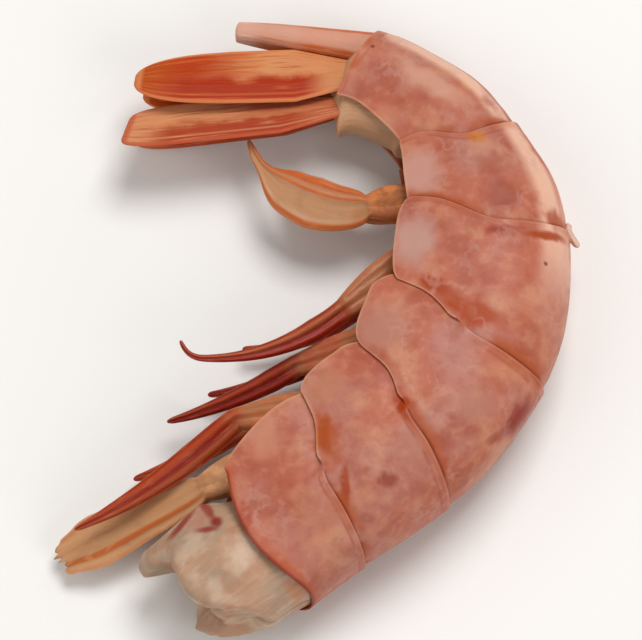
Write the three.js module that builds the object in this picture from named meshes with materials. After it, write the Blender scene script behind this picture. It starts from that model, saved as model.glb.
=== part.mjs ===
// A raw shrimp tail without its head, in its shell, lying curled on its left side. Millimetres, +Z up.
// The body follows a middle line that starts at the neck, where the head was taken off, and bends round to
// the tail fan. Six overlapping shell plates wrap a core of meat. Five pairs of swimming legs hang from the
// belly, and the fan is a spike between two pairs of blades. The right side of the animal faces up.
import * as THREE from "three";

// Where the neck lies, so that the origin is at the middle of the whole, on the surface that it rests on.
const NECK = { x: -6, y: -28.65 };

const SHELL = 0.45; // thickness of a shell plate
const GAP = 0.3; // clearance between neighbouring pieces
const TUCK = 2.2; // how far a plate reaches under its neighbour in front
const SINK = 0.35; // how far the underside is flattened where the body rests
const SKIN = 1.7; // from the outside of the shell to the meat
const RISE = 6; // along a plate, from behind its neighbour's edge to where it is back at the outside
const LEAN_IN = 0.1; // share of the half width by which the sides lean in at the notch line
const PLATE_STEPS = 8; // faces along a plate
const PLATE_ARC_STEPS = 14; // faces from the ridge of the back to a flap's edge
const FLAP_SQUARE = 2.6; // how square the rounded flaps at the sides are
const STRAP_SIDES = 8; // faces round a leg or a blade of the fan

// The six rings of the body, from the neck: length along the middle line, the way that line heads in
// degrees from +X, and how far the rounded flap hangs below the notches beside it.
const RINGS = [
  { length: 10.0, heading: 42, lobe: 1.8 },
  { length: 12.2, heading: 36, lobe: 3.4 },
  { length: 14.0, heading: 59, lobe: 3.6 },
  { length: 15.6, heading: 84, lobe: 1.8 },
  { length: 11.8, heading: 108, lobe: 0.7 },
  { length: 15.6, heading: 142, lobe: 0.3 },
];

// The seven seams that bound them: from the middle line up to the back, down to the flaps' notches, half
// the width, how square the section is, how far the seam leans back towards the tail at the belly, how far
// its middle bows towards the head, how deep the meat hangs at the belly, and how far the body is lifted off
// the surface.
const SEAMS = [
  { back: 8.6, belly: 8.4, half: 7.7, square: 2.4, lean: 0.8, bow: 2.6, core: 7.2, lift: 0 },
  { back: 9.5, belly: 9.0, half: 8.5, square: 2.4, lean: 3.0, bow: 0.8, core: 5.8, lift: 0 },
  { back: 9.8, belly: 8.5, half: 8.8, square: 2.3, lean: 2.7, bow: 0.6, core: 5.6, lift: 0 },
  { back: 10.4, belly: 9.5, half: 8.4, square: 2.2, lean: 2.7, bow: 1.8, core: 5.8, lift: 0 },
  { back: 9.6, belly: 9.2, half: 7.4, square: 2.1, lean: 2.6, bow: 2.2, core: 5.8, lift: 0 },
  { back: 7.2, belly: 7.0, half: 5.9, square: 2.0, lean: 2.1, bow: 1.8, core: 6.6, lift: 0.3 },
  { back: 5.3, belly: 5.1, half: 4.3, square: 2.0, lean: 1.8, bow: 0.4, core: 9.4, lift: 1.6 },
];

const FAN_HEADING = 186; // the way the middle line heads once it has left the last ring

const MEAT = {
  square: 2.6, // how square its belly is
  step: 2, // between rings of points
  sides: 26,
  hollow: 8.6, // how far the middle of the torn end stands out of the shell
  hollowSize: 0.55, // size of the ring of points there, as a share of the section
  tornRings: [1, 0.85, 0.6, 0.3], // shares of the torn end's reach at which its rings of points lie
  wither: 0.014, // by what share the torn end narrows at the back with each millimetre of its reach
  neckSkin: 1.1, // from the outside of the shell to the meat at the neck, where no plate is tucked in
  neckEnd: 5, // how far behind the neck that thickens to the rest's
  flare: 0.3, // share by which the belly side of the torn end hangs deeper
  flareEnd: 4.5, // how far out of the neck that is reached
  tail: 3, // how far short of the last plate's edge the meat ends
};

// How far the torn end of the meat stands out of the shell, round the section: the place as a share of a
// whole turn from the back over the right side, and the reach there. The teeth are torn fibres.
const TORN_EDGE = [
  { at: 0, reach: 5.6 },
  { at: 0.1, reach: 7.2 },
  { at: 0.18, reach: 10.2 },
  { at: 0.25, reach: 12.2 },
  { at: 0.32, reach: 11.6 },
  { at: 0.38, reach: 10.6 },
  { at: 0.44, reach: 12.2 },
  { at: 0.51, reach: 14.2 },
  { at: 0.58, reach: 11.0 },
  { at: 0.65, reach: 8.8 },
  { at: 0.7, reach: 9.0 },
  { at: 0.76, reach: 12.2 },
  { at: 0.83, reach: 10.4 },
  { at: 0.91, reach: 7.0 },
  { at: 1, reach: 5.6 },
];

const radians = THREE.MathUtils.degToRad;
const smooth = (t) => THREE.MathUtils.smoothstep(t, 0, 1);

// Distance along the middle line from the neck to each seam, and to the middle of each ring.
const seamAt = RINGS.reduce((at, ring) => [...at, at.at(-1) + ring.length], [0]);
const middleAt = RINGS.map((ring, i) => seamAt[i] + ring.length / 2);

// A size of the body at a distance along it, on a smooth curve through its values at the seams.
function sizeAt(name, along) {
  const last = SEAMS.length - 1;
  const ahead = seamAt.findIndex((at) => along < at);
  const i = THREE.MathUtils.clamp(ahead < 0 ? last - 1 : ahead - 1, 0, last - 1);
  const t = THREE.MathUtils.clamp((along - seamAt[i]) / (seamAt[i + 1] - seamAt[i]), 0, 1);
  const [before, from, to, after] = [i - 1, i, i + 1, i + 2].map(
    (k) => SEAMS[THREE.MathUtils.clamp(k, 0, last)][name],
  );
  const [rise, fall] = [(to - before) / 2, (after - from) / 2];
  return from + t * (rise + t * (3 * (to - from) - 2 * rise - fall + t * (rise + fall - 2 * (to - from))));
}

// The way the middle line heads: steady in the middle of each ring, turning most at the seams.
function headingAt(along) {
  const stops = [...middleAt, seamAt.at(-1) + middleAt[0]];
  const headings = [...RINGS.map((ring) => ring.heading), FAN_HEADING];
  const ahead = stops.findIndex((at) => along < at);
  if (ahead === 0) return headings[0];
  if (ahead < 0) return headings.at(-1);
  const t = (along - stops[ahead - 1]) / (stops[ahead] - stops[ahead - 1]);
  return THREE.MathUtils.lerp(headings[ahead - 1], headings[ahead], smooth(t));
}

// The middle line, walked in short steps from a little before the neck to a little past the tail.
const WALK = { start: -20, past: 10, step: 0.25 };

function walkMiddle() {
  const first = radians(headingAt(WALK.start));
  let x = NECK.x + WALK.start * Math.cos(first);
  let y = NECK.y + WALK.start * Math.sin(first);
  const points = [];
  for (let along = WALK.start; along <= seamAt.at(-1) + WALK.past; along += WALK.step) {
    points.push(new THREE.Vector2(x, y));
    const heading = radians(headingAt(along + WALK.step / 2));
    x += WALK.step * Math.cos(heading);
    y += WALK.step * Math.sin(heading);
  }
  return points;
}

const middleLine = walkMiddle();

// Place on the middle line and the directions there: forward to the tail, up to the back, and the right side.
function frameAt(along) {
  const at = (along - WALK.start) / WALK.step;
  const i = THREE.MathUtils.clamp(Math.floor(at), 0, middleLine.length - 2);
  const flat = middleLine[i].clone().lerp(middleLine[i + 1], at - i);
  const heading = radians(headingAt(along));
  return {
    place: new THREE.Vector3(flat.x, flat.y, sizeAt("half", along) - SINK + sizeAt("lift", along)),
    forward: new THREE.Vector3(Math.cos(heading), Math.sin(heading), 0),
    back: new THREE.Vector3(Math.sin(heading), -Math.cos(heading), 0),
    right: new THREE.Vector3(0, 0, 1),
  };
}

// A point of the body: along the line, `side` to its right and `up` towards the back. What would lie under
// `floor` is flattened onto it.
function bodyPoint(along, side, up, floor = 0) {
  const { place, back, right } = frameAt(along);
  const point = place.addScaledVector(back, up).addScaledVector(right, side);
  point.z = Math.max(point.z, floor);
  return point;
}

// How high on its section a shell point sits, as a share: 1 on the ridge of the back, 0 at the middle line
// and -1 at a flap's notch line. `arc` runs from 0 on the ridge to 1 at the flap's edge.
function heightShare(arc, square) {
  return arc < 0.5 ? Math.cos(Math.PI * arc) ** (2 / square) : 1 - 2 * arc;
}

// The outside of the shell's section at a distance along the body: [side, up], with the flap hanging
// `lobe` below the notch line.
function shellSection(along, arc, lobe) {
  const square = sizeAt("square", along);
  const half = sizeAt("half", along);
  const share = heightShare(arc, square);
  if (arc < 0.5) return [half * Math.sin(Math.PI * arc) ** (2 / square), sizeAt("back", along) * share];
  const up = (sizeAt("belly", along) + lobe) * share;
  return [half * (1 - LEAN_IN * (up / sizeAt("belly", along)) ** 2), up];
}

// The same point moved in by `depth`, square to the section.
function insetSection(along, arc, lobe, depth) {
  const [side, up] = shellSection(along, arc, lobe);
  const nudge = 0.01;
  const before = shellSection(along, Math.max(arc - nudge, 0), lobe);
  const after = shellSection(along, Math.min(arc + nudge, 1), lobe);
  const [across, down] = arc === 0 ? [1, 0] : [after[0] - before[0], after[1] - before[1]];
  const size = Math.hypot(across, down);
  return [side + (depth * down) / size, up - (depth * across) / size];
}

// A closed mesh from rings of points, each joined to the next. The ends close with a point at their middle,
// or, where the ring is a thin loop with a near and a far side, with a strip between them.
function loft(rings, ends = "point") {
  const count = rings[0].length;
  const points = rings.flat();
  const faces = [];
  for (let row = 0; row + 1 < rings.length; row++) {
    for (let k = 0; k < count; k++) {
      const [a, b] = [row * count + k, row * count + ((k + 1) % count)];
      faces.push(a, b, a + count, b, b + count, a + count);
    }
  }
  for (const [first, flip] of [[0, true], [points.length - count, false]]) {
    const add = (a, b, c) => faces.push(...(flip ? [a, c, b] : [a, b, c]));
    if (ends === "point") {
      const ring = points.slice(first, first + count);
      const middle = points.length;
      points.push(ring.reduce((sum, p) => sum.add(p), new THREE.Vector3()).divideScalar(count));
      for (let k = 0; k < count; k++) add(first + k, first + ((k + 1) % count), middle);
    } else {
      for (let k = 0; k + 1 < count / 2; k++) {
        const [near, far] = [first + k, first + count - 1 - k];
        add(near, near + 1, far);
        add(near + 1, far - 1, far);
      }
    }
  }
  return facingOut(points, faces);
}

// The geometry of a closed mesh, turned so that its faces point out.
function facingOut(points, faces) {
  let volume = 0;
  for (let i = 0; i < faces.length; i += 3) {
    const [a, b, c] = faces.slice(i, i + 3).map((k) => points[k]);
    volume += a.dot(b.clone().cross(c));
  }
  const geometry = new THREE.BufferGeometry();
  geometry.setAttribute("position", new THREE.Float32BufferAttribute(points.flatMap((p) => p.toArray()), 3));
  geometry.setIndex(volume < 0 ? faces.toReversed() : faces);
  return geometry;
}

// Where a seam runs along the body at a height on its section: it leans and bows.
function seamEdge(number, height) {
  return seamAt[number] - SEAMS[number].lean * height - SEAMS[number].bow * (1 - height ** 2);
}

// One shell plate: a thin saddle from the edge of one flap, over the back, to the edge of the other. Its
// front is tucked under the plate before it, and it rises to the outside behind that plate's edge.
function shellPlate(number) {
  const tuck = number === 0 ? 0 : TUCK;
  const rounded = (t) => (1 - Math.abs(2 * t - 1) ** FLAP_SQUARE) ** (1 / FLAP_SQUARE);
  const rings = [];
  for (let row = 0; row <= PLATE_STEPS; row++) {
    const share = row / PLATE_STEPS;
    const [outer, inner] = [[], []];
    for (let k = -PLATE_ARC_STEPS; k <= PLATE_ARC_STEPS; k++) {
      const arc = Math.abs(k) / PLATE_ARC_STEPS;
      const height = heightShare(arc, SEAMS[number].square);
      const front = seamEdge(number, height) - tuck;
      const rear = seamEdge(number + 1, height);
      const along = THREE.MathUtils.lerp(front, rear, share);
      const lobe = RINGS[number].lobe * rounded(share);
      const risen = number === 0 ? 1 : smooth((along - front - TUCK - SHELL) / RISE);
      const depth = (SHELL + GAP) * (1 - risen);
      for (const [list, inset] of [[outer, depth], [inner, depth + SHELL]]) {
        const [side, up] = insetSection(along, arc, lobe, inset);
        list.push(bodyPoint(along, Math.sign(k) * side, up, inset));
      }
    }
    rings.push([...outer, ...inner.toReversed()]);
  }
  return loft(rings, "strip");
}

// The meat's section: it follows the shell from inside over the back and is flatter at the belly. `turn` is
// 0 on the ridge of the back, 0.5 at the middle of the belly, and on to 1 round the left side.
function meatSection(along, turn, inset) {
  const arc = turn < 0.5 ? turn * 2 : 2 - turn * 2;
  const sign = turn < 0.5 ? 1 : -1;
  if (arc < 0.5) {
    const [side, up] = insetSection(along, arc, 0, inset);
    return [side * sign, up];
  }
  const half = sizeAt("half", along) - inset;
  const power = 2 / MEAT.square;
  return [
    half * sign * Math.sin(Math.PI * arc) ** power,
    -sizeAt("core", along) * (-Math.cos(Math.PI * arc)) ** power,
  ];
}

// How far the torn end reaches before the neck at a share of a turn round the section.
function tornReach(turn) {
  const next = TORN_EDGE.findIndex(({ at }) => at > turn);
  const [before, after] = [TORN_EDGE[next - 1], TORN_EDGE[next]];
  return THREE.MathUtils.mapLinear(turn, before.at, after.at, before.reach, after.reach);
}

// One ring of points round the meat. `reach` gives their distance along the body from their share of a turn.
// The ring leans as the seams of the shell do there, and `size` narrows it.
function meatRing(reach, size, floor) {
  return Array.from({ length: MEAT.sides }, (_, k) => {
    const turn = k / MEAT.sides;
    const along = reach(turn);
    const inset = THREE.MathUtils.lerp(MEAT.neckSkin, SKIN, smooth(along / MEAT.neckEnd));
    const [side, up] = meatSection(along, turn, inset);
    const lean = sizeAt("lean", along) * Math.cos(2 * Math.PI * turn);
    const narrow = size * (1 + MEAT.wither * Math.min(along, 0));
    const deep = size * (1 + MEAT.flare * smooth(-along / MEAT.flareEnd));
    return bodyPoint(along - lean, side * narrow, up * (up > 0 ? narrow : deep), floor);
  });
}

// The meat: one core from the torn neck to the base of the tail fan.
function meat() {
  const rings = [meatRing(() => -MEAT.hollow, MEAT.hollowSize, 0)];
  for (const share of MEAT.tornRings) {
    rings.push(meatRing((turn) => -tornReach(turn) * share, 1, SKIN - share));
  }
  const end = seamAt.at(-1) - MEAT.tail;
  const steps = Math.round(end / MEAT.step);
  for (let step = 0; step <= steps; step++) {
    rings.push(meatRing(() => (end * step) / steps, 1, SKIN));
  }
  return loft(rings);
}

// A flat limb or blade that follows a line: each station is { place, wide, thick }. `roll` is how far it is
// turned about its own length, 0 lying level and 90 on edge, and `skew` how far its tip is cut aslant.
function strap(stations, roll, skew = 0) {
  const up = new THREE.Vector3(0, 0, 1);
  const rings = stations.map(({ place, wide, thick }, i) => {
    const from = stations[Math.max(i - 1, 0)].place;
    const to = stations[Math.min(i + 1, stations.length - 1)].place;
    const along = to.clone().sub(from).normalize();
    const level = up.clone().cross(along).normalize().applyAxisAngle(along, radians(roll));
    const normal = along.clone().cross(level);
    return Array.from({ length: STRAP_SIDES }, (_, k) => {
      const angle = (2 * Math.PI * (k + 0.5)) / STRAP_SIDES;
      const across = (wide / 2) * Math.cos(angle);
      const point = place.clone().addScaledVector(level, across);
      point.addScaledVector(normal, (thick / 2) * Math.sin(angle));
      point.addScaledVector(along, (skew * across * i) / stations.length);
      point.z = Math.max(point.z, GAP);
      return point;
    });
  });
  return loft(rings);
}

// A line that starts at a point and walks on in a plan heading that turns, with its height moving evenly to
// `height` by the end.
function walkLine(start, heading, length, turn, height, steps) {
  const line = [start.clone()];
  for (let step = 0; step < steps; step++) {
    const way = radians(heading + (turn * (step + 0.5)) / steps);
    const next = line.at(-1).clone();
    next.x += (length / steps) * Math.cos(way);
    next.y += (length / steps) * Math.sin(way);
    next.z = THREE.MathUtils.lerp(start.z, height, (step + 1) / steps);
    line.push(next);
  }
  return line;
}

const RIGHT = 1;
const LEFT = -1;

// The swimming legs, in pairs from the neck: how far along its ring a leg leaves the belly, the lengths of
// its thick base and of its blade, how far it splays out from pointing to the head, how it bends at the
// joint between them, how the blade turns on from there, the widths of base and blade, how far along the
// blade is widest, the height of its tip, and how far the leg is turned about its own length. The left legs
// lie under the right ones.
const LEGS = [
  {
    name: "leg_right_1", side: RIGHT, ring: 0, at: 0.66, base: 8.4, blade: 18.6, splay: 19, bend: 0,
    turn: 0, paddle: 4.6, wide: 7, widest: 0.7, tip: 1.8, roll: 2,
  },
  {
    name: "leg_right_2", side: RIGHT, ring: 1, at: 0.7, base: 14, blade: 23, splay: 28, bend: 33, turn: -18,
    paddle: 4.2, wide: 3.6, widest: 0.3, tip: 7.2, roll: 12,
  },
  {
    name: "leg_right_3", side: RIGHT, ring: 2, at: 0.8, base: 14, blade: 16.5, splay: 46, bend: 14, turn: -22,
    paddle: 4, wide: 3, widest: 0.2, tip: 4.5, roll: 20,
  },
  {
    name: "leg_right_4", side: RIGHT, ring: 3, at: 0.72, base: 13, blade: 22, splay: 46, bend: 0, turn: -50,
    paddle: 4.6, wide: 3, widest: 0.2, tip: 11, roll: 20,
  },
  {
    name: "leg_right_5", side: RIGHT, ring: 4, at: 0.38, base: 6, blade: 18.6, splay: 99, bend: 0, turn: -84,
    paddle: 4.6, wide: 7, widest: 0.35, tip: 6, roll: 10,
  },
  {
    name: "leg_left_1", side: LEFT, ring: 0, at: 0.7, base: 8, blade: 12, splay: 24, bend: 0, turn: 0,
    paddle: 4.2, wide: 5, widest: 0.6, tip: 0.9, roll: 4,
  },
  {
    name: "leg_left_2", side: LEFT, ring: 1, at: 0.66, base: 12, blade: 15, splay: 32, bend: 24, turn: -12,
    paddle: 4, wide: 3.6, widest: 0.3, tip: 2, roll: 20,
  },
  {
    name: "leg_left_3", side: LEFT, ring: 2, at: 0.7, base: 12, blade: 12, splay: 50, bend: 12, turn: -20,
    paddle: 4, wide: 3, widest: 0.2, tip: 2.4, roll: 20,
  },
  {
    name: "leg_left_4", side: LEFT, ring: 3, at: 0.7, base: 11, blade: 14, splay: 50, bend: 0, turn: -40,
    paddle: 4.4, wide: 3, widest: 0.2, tip: 2.4, roll: 20,
  },
  {
    name: "leg_left_5", side: LEFT, ring: 4, at: 0.4, base: 6, blade: 13, splay: 106, bend: 0, turn: -60,
    paddle: 4, wide: 5, widest: 0.35, tip: 2.6, roll: 10,
  },
];
const LEG = {
  out: 0.3, // where a leg leaves the belly, as a share of the half width out from the middle
  rootWide: 3.0, // width of its base at the belly and at the joint
  baseThick: 1.7,
  jointThick: 1.3, // thickness of the blade at the joint
  bladeThick: 0.8, // thickness of the blade at its tip
  tipWide: 0.6, // width of the blade at its tip
  steps: 14, // faces along it
};

// One leg: a thick paddle that narrows at a joint, then a long thin blade.
function leg({ side, ring, at, base, blade, splay, bend, turn, paddle, wide, widest, tip, roll }) {
  const along = THREE.MathUtils.lerp(seamAt[ring], seamAt[ring + 1], at);
  const { place, back, right } = frameAt(along);
  const root = place.clone().addScaledVector(back, -sizeAt("core", along) - GAP - LEG.rootWide / 2);
  root.addScaledVector(right, side * LEG.out * sizeAt("half", along));
  const heading = headingAt(along) + 180 - splay;
  const joint = THREE.MathUtils.lerp(root.z, tip, base / (base + blade));
  const baseSteps = Math.round((LEG.steps * base) / (base + blade));
  const bladeSteps = LEG.steps - baseSteps;
  const line = walkLine(root, heading, base, 0, joint, baseSteps);
  line.push(...walkLine(line.at(-1), heading + bend, blade, turn, tip, bladeSteps).slice(1));
  const stations = line.map((point, i) => {
    if (i <= baseSteps) {
      const swell = Math.sin((Math.PI * i) / baseSteps);
      return { place: point, wide: LEG.rootWide + (paddle - LEG.rootWide) * swell, thick: LEG.baseThick };
    }
    const share = (i - baseSteps) / bladeSteps;
    const fill = share < widest ? share / widest : (1 - share) / (1 - widest);
    return {
      place: point,
      wide: THREE.MathUtils.lerp(share < widest ? LEG.rootWide : LEG.tipWide, wide, Math.sqrt(fill)),
      thick: THREE.MathUtils.lerp(LEG.jointThick, LEG.bladeThick, share),
    };
  });
  return strap(stations, -side * roll);
}

// The tail fan: a spike between two pairs of blades. Each is rooted from the end of the middle line (on
// towards the fan, up towards the back, out to its side), with its heading, length, width and thickness, its
// thickness at the root where that is more, how far out its tip is, how far it is turned about its own
// length, how blunt its tip is, how much of its width is left there, and how far the tip is cut aslant.
const FAN = [
  {
    name: "telson", side: 0, on: -2.4, up: 2.3, out: 0, heading: 171, length: 17, wide: 5.4, thick: 2.2,
    rootThick: 4.2, tipOut: 0, roll: 90, blunt: 2, stub: 0.45, skew: 0,
  },
  {
    name: "fan_inner_right", side: RIGHT, on: -1.6, up: -1.2, out: 1.4, heading: 183, length: 27.6, wide: 8.2,
    thick: 1, tipOut: 2.8, roll: 12, blunt: 3, stub: 0.2, skew: 0.2,
  },
  {
    name: "fan_outer_right", side: RIGHT, on: -0.2, up: -5.6, out: 1.2, heading: 187, length: 26.8, wide: 7.4,
    thick: 1, tipOut: 1.8, roll: 24, blunt: 6, stub: 0.6, skew: 0.4,
  },
  {
    name: "fan_inner_left", side: LEFT, on: -1.6, up: -1.4, out: 1, heading: 183, length: 26.6, wide: 6.6,
    thick: 1, tipOut: 1.2, roll: 8, blunt: 3, stub: 0.2, skew: 0.2,
  },
  {
    name: "fan_outer_left", side: LEFT, on: -0.4, up: -4, out: 2.6, heading: 186, length: 25.6, wide: 5.8,
    thick: 1, tipOut: 4.2, roll: 12, blunt: 6, stub: 0.6, skew: 0.4,
  },
];
const BLADE_STEPS = 12; // faces along a blade
const BLADE_ROOT = 0.4; // width of a blade at its root, as a share of its full width
const BLADE_SPREAD = 2; // how fast it widens from there, in full widths over its length

// One blade of the fan, or the spike in its middle.
function blade(row) {
  const { side, on, up, out, heading, length, wide, thick, rootThick = thick } = row;
  const { tipOut, roll, blunt, stub, skew } = row;
  const { place, forward, back } = frameAt(seamAt.at(-1));
  const root = place.addScaledVector(forward, on).addScaledVector(back, up);
  const tip = root.z + side * tipOut;
  root.z += side * out;
  const line = walkLine(root, heading, length, 0, tip, BLADE_STEPS);
  const stations = line.map((point, i) => {
    const share = i / BLADE_STEPS;
    const spread = side === 0 ? 1 : Math.min(1, BLADE_ROOT + BLADE_SPREAD * share);
    const end = Math.sqrt(1 - (1 - stub ** 2) * share ** (2 * blunt));
    return {
      place: point,
      wide: wide * spread * end,
      thick: THREE.MathUtils.lerp(rootThick, thick, share),
    };
  });
  return strap(stations, side === LEFT ? -roll : roll, skew);
}

// A shred of skin that is caught at a seam and stands off the ridge of the back: the seam's number, its
// root's distance behind it, its length, how far its end stands off, its width at the root and at the end,
// and its thickness.
const SHRED = { seam: 4, behind: 1.2, length: 3.2, stand: 0.6, wide: 1.6, endWide: 0.8, thick: 0.7 };

function shred() {
  const along = seamEdge(SHRED.seam, 1) + SHRED.behind;
  const { place, forward, back } = frameAt(along);
  const root = place.addScaledVector(back, sizeAt("back", along) + GAP + SHRED.thick / 2);
  const end = root.clone().addScaledVector(forward, -SHRED.length).addScaledVector(back, SHRED.stand);
  const stations = [0, 0.5, 1].map((share) => ({
    place: root.clone().lerp(end, share),
    wide: THREE.MathUtils.lerp(SHRED.wide, SHRED.endWide, share),
    thick: SHRED.thick,
  }));
  return strap(stations, 90);
}

const FINISH = {
  shell: { color: 0xc07c66, roughness: 0.38, metalness: 0 },
  meat: { color: 0xc9a88c, roughness: 0.45, metalness: 0 },
  legs: { color: 0xb4532f, roughness: 0.42, metalness: 0 },
  fan: { color: 0xc2693a, roughness: 0.4, metalness: 0 },
};

const shrimp = new THREE.Group();

function addPiece(name, geometry, finish) {
  const mesh = new THREE.Mesh(geometry, new THREE.MeshStandardMaterial(FINISH[finish]));
  mesh.name = name;
  shrimp.add(mesh);
}

addPiece("meat", meat(), "meat");
RINGS.forEach((_, i) => addPiece(`shell_${i + 1}`, shellPlate(i), "shell"));
LEGS.forEach((row) => addPiece(row.name, leg(row), "legs"));
FAN.forEach((row) => addPiece(row.name, blade(row), "fan"));
addPiece("shred", shred(), "meat");

export default shrimp;
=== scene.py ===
"""A raw shrimp tail without its head, in its shell, lying curled on its left side.

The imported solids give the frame: every piece here stands for the solid of the same name and keeps its
form, with the finer relief of real shell, flesh, legs and tail fan. Sizes of the animal are in
millimetres and become metres when a piece's points are placed. +Z is up, out of the right side.
"""

import logging
import math
from dataclasses import dataclass
from enum import Enum
from typing import Callable

import bpy
import numpy as np
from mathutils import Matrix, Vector, noise


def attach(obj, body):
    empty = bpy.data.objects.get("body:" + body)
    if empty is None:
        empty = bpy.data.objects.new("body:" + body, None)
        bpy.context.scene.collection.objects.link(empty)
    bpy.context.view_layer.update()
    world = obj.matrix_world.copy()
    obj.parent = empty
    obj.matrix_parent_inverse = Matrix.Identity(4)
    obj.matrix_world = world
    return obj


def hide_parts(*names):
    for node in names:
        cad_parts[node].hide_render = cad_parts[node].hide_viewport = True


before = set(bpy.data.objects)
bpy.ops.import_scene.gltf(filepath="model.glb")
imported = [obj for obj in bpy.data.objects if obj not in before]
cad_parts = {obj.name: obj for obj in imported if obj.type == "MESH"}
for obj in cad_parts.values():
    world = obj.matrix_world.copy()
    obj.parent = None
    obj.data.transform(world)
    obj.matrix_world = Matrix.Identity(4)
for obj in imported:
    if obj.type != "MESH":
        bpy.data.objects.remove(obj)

log = logging.getLogger("shrimp")

Array = np.ndarray
Paint = tuple[int, int, int]
Place = tuple[float, float, float]
Span = tuple[float, float]
Socket = bpy.types.NodeSocket
Piece = bpy.types.Object

MM = 0.001
SEED = 7
FIBRES_ROUND = 90.0
FIBRE_STRETCH = 0.35


class Side(Enum):
    """Side of the animal that a limb belongs to. The right side faces up."""

    RIGHT = 1
    MIDDLE = 0
    LEFT = -1


class Slot(Enum):
    """Material slots of the record."""

    MEAT = "meat"
    SHELL = "shell"
    LEGS = "legs"
    FAN = "fan"


def smooth(share: Array | float) -> Array:
    """Eases a share from 0 to 1, clamped at both ends."""
    held = np.clip(share, 0.0, 1.0)
    return held * held * (3.0 - 2.0 * held)


def hump(distance: Array, width: float) -> Array:
    """A round hump of height 1 at distance 0 that fades over a width."""
    return np.exp(-((distance / width) ** 2))


def blend(start: Array | float, end: Array | float, share: Array | float) -> Array:
    """The value a share of the way from start to end."""
    return start + (end - start) * share


@dataclass(frozen=True)
class Crest:
    """A smooth crest, or a hollow where its height is negative: its place, its width and its height."""

    at: float
    wide: float
    high: float = 1.0


def raised(crests: tuple[Crest, ...], place: Array) -> Array:
    """How high several crests stand together at places across them."""
    return sum(crest.high * hump(place - crest.at, crest.wide) for crest in crests)


def uneven(points: Array, period: float, seed: float) -> Array:
    """Smooth unevenness from 0 to 1 at each point, its swells a period apart. A seed tells it apart."""
    shift = Vector((seed, -seed, 2.0 * seed))
    return np.array([0.5 + 0.5 * noise.noise(Vector(point) / period + shift) for point in points])


@dataclass(frozen=True)
class Swell:
    """Smooth unevenness of a surface: its depth, the distance between its swells and its own offset."""

    depth: float
    period: float
    seed: float

    def at(self, points: Array) -> Array:
        """How high it stands at each point."""
        return self.depth * uneven(points, self.period, self.seed)


@dataclass(frozen=True)
class Ring:
    """One ring of the body: its length, the heading of the middle line there and the flap's overhang."""

    length: float
    heading: float
    lobe: float


@dataclass(frozen=True)
class Seam:
    """Sizes of the body where two rings meet.

    Back and belly are heights from the middle line to the ridge and to the notch between two flaps. Half
    is half the width, and square how square the section is. The seam leans back at the belly, and its
    middle bows towards the head. Core is how deep the meat hangs, and lift raises the body.
    """

    back: float
    belly: float
    half: float
    square: float
    lean: float
    bow: float
    core: float
    lift: float = 0.0


RINGS = (
    Ring(length=10.0, heading=42, lobe=1.8),
    Ring(length=12.2, heading=36, lobe=3.4),
    Ring(length=14.0, heading=59, lobe=3.6),
    Ring(length=15.6, heading=84, lobe=1.8),
    Ring(length=11.8, heading=108, lobe=0.7),
    Ring(length=15.6, heading=142, lobe=0.3),
)

SEAMS = (
    Seam(back=8.6, belly=8.4, half=7.7, square=2.4, lean=0.8, bow=2.6, core=7.2),
    Seam(back=9.5, belly=9.0, half=8.5, square=2.4, lean=3.0, bow=0.8, core=5.8),
    Seam(back=9.8, belly=8.5, half=8.8, square=2.3, lean=2.7, bow=0.6, core=5.6),
    Seam(back=10.4, belly=9.5, half=8.4, square=2.2, lean=2.7, bow=1.8, core=5.8),
    Seam(back=9.6, belly=9.2, half=7.4, square=2.1, lean=2.6, bow=2.2, core=5.8),
    Seam(back=7.2, belly=7.0, half=5.9, square=2.0, lean=2.1, bow=1.8, core=6.6, lift=0.3),
    Seam(back=5.3, belly=5.1, half=4.3, square=2.0, lean=1.8, bow=0.4, core=9.4, lift=1.6),
)


@dataclass(frozen=True)
class Track:
    """Places along the body and the directions there, one to a row."""

    place: Array
    forward: Array
    back: Array


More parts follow.
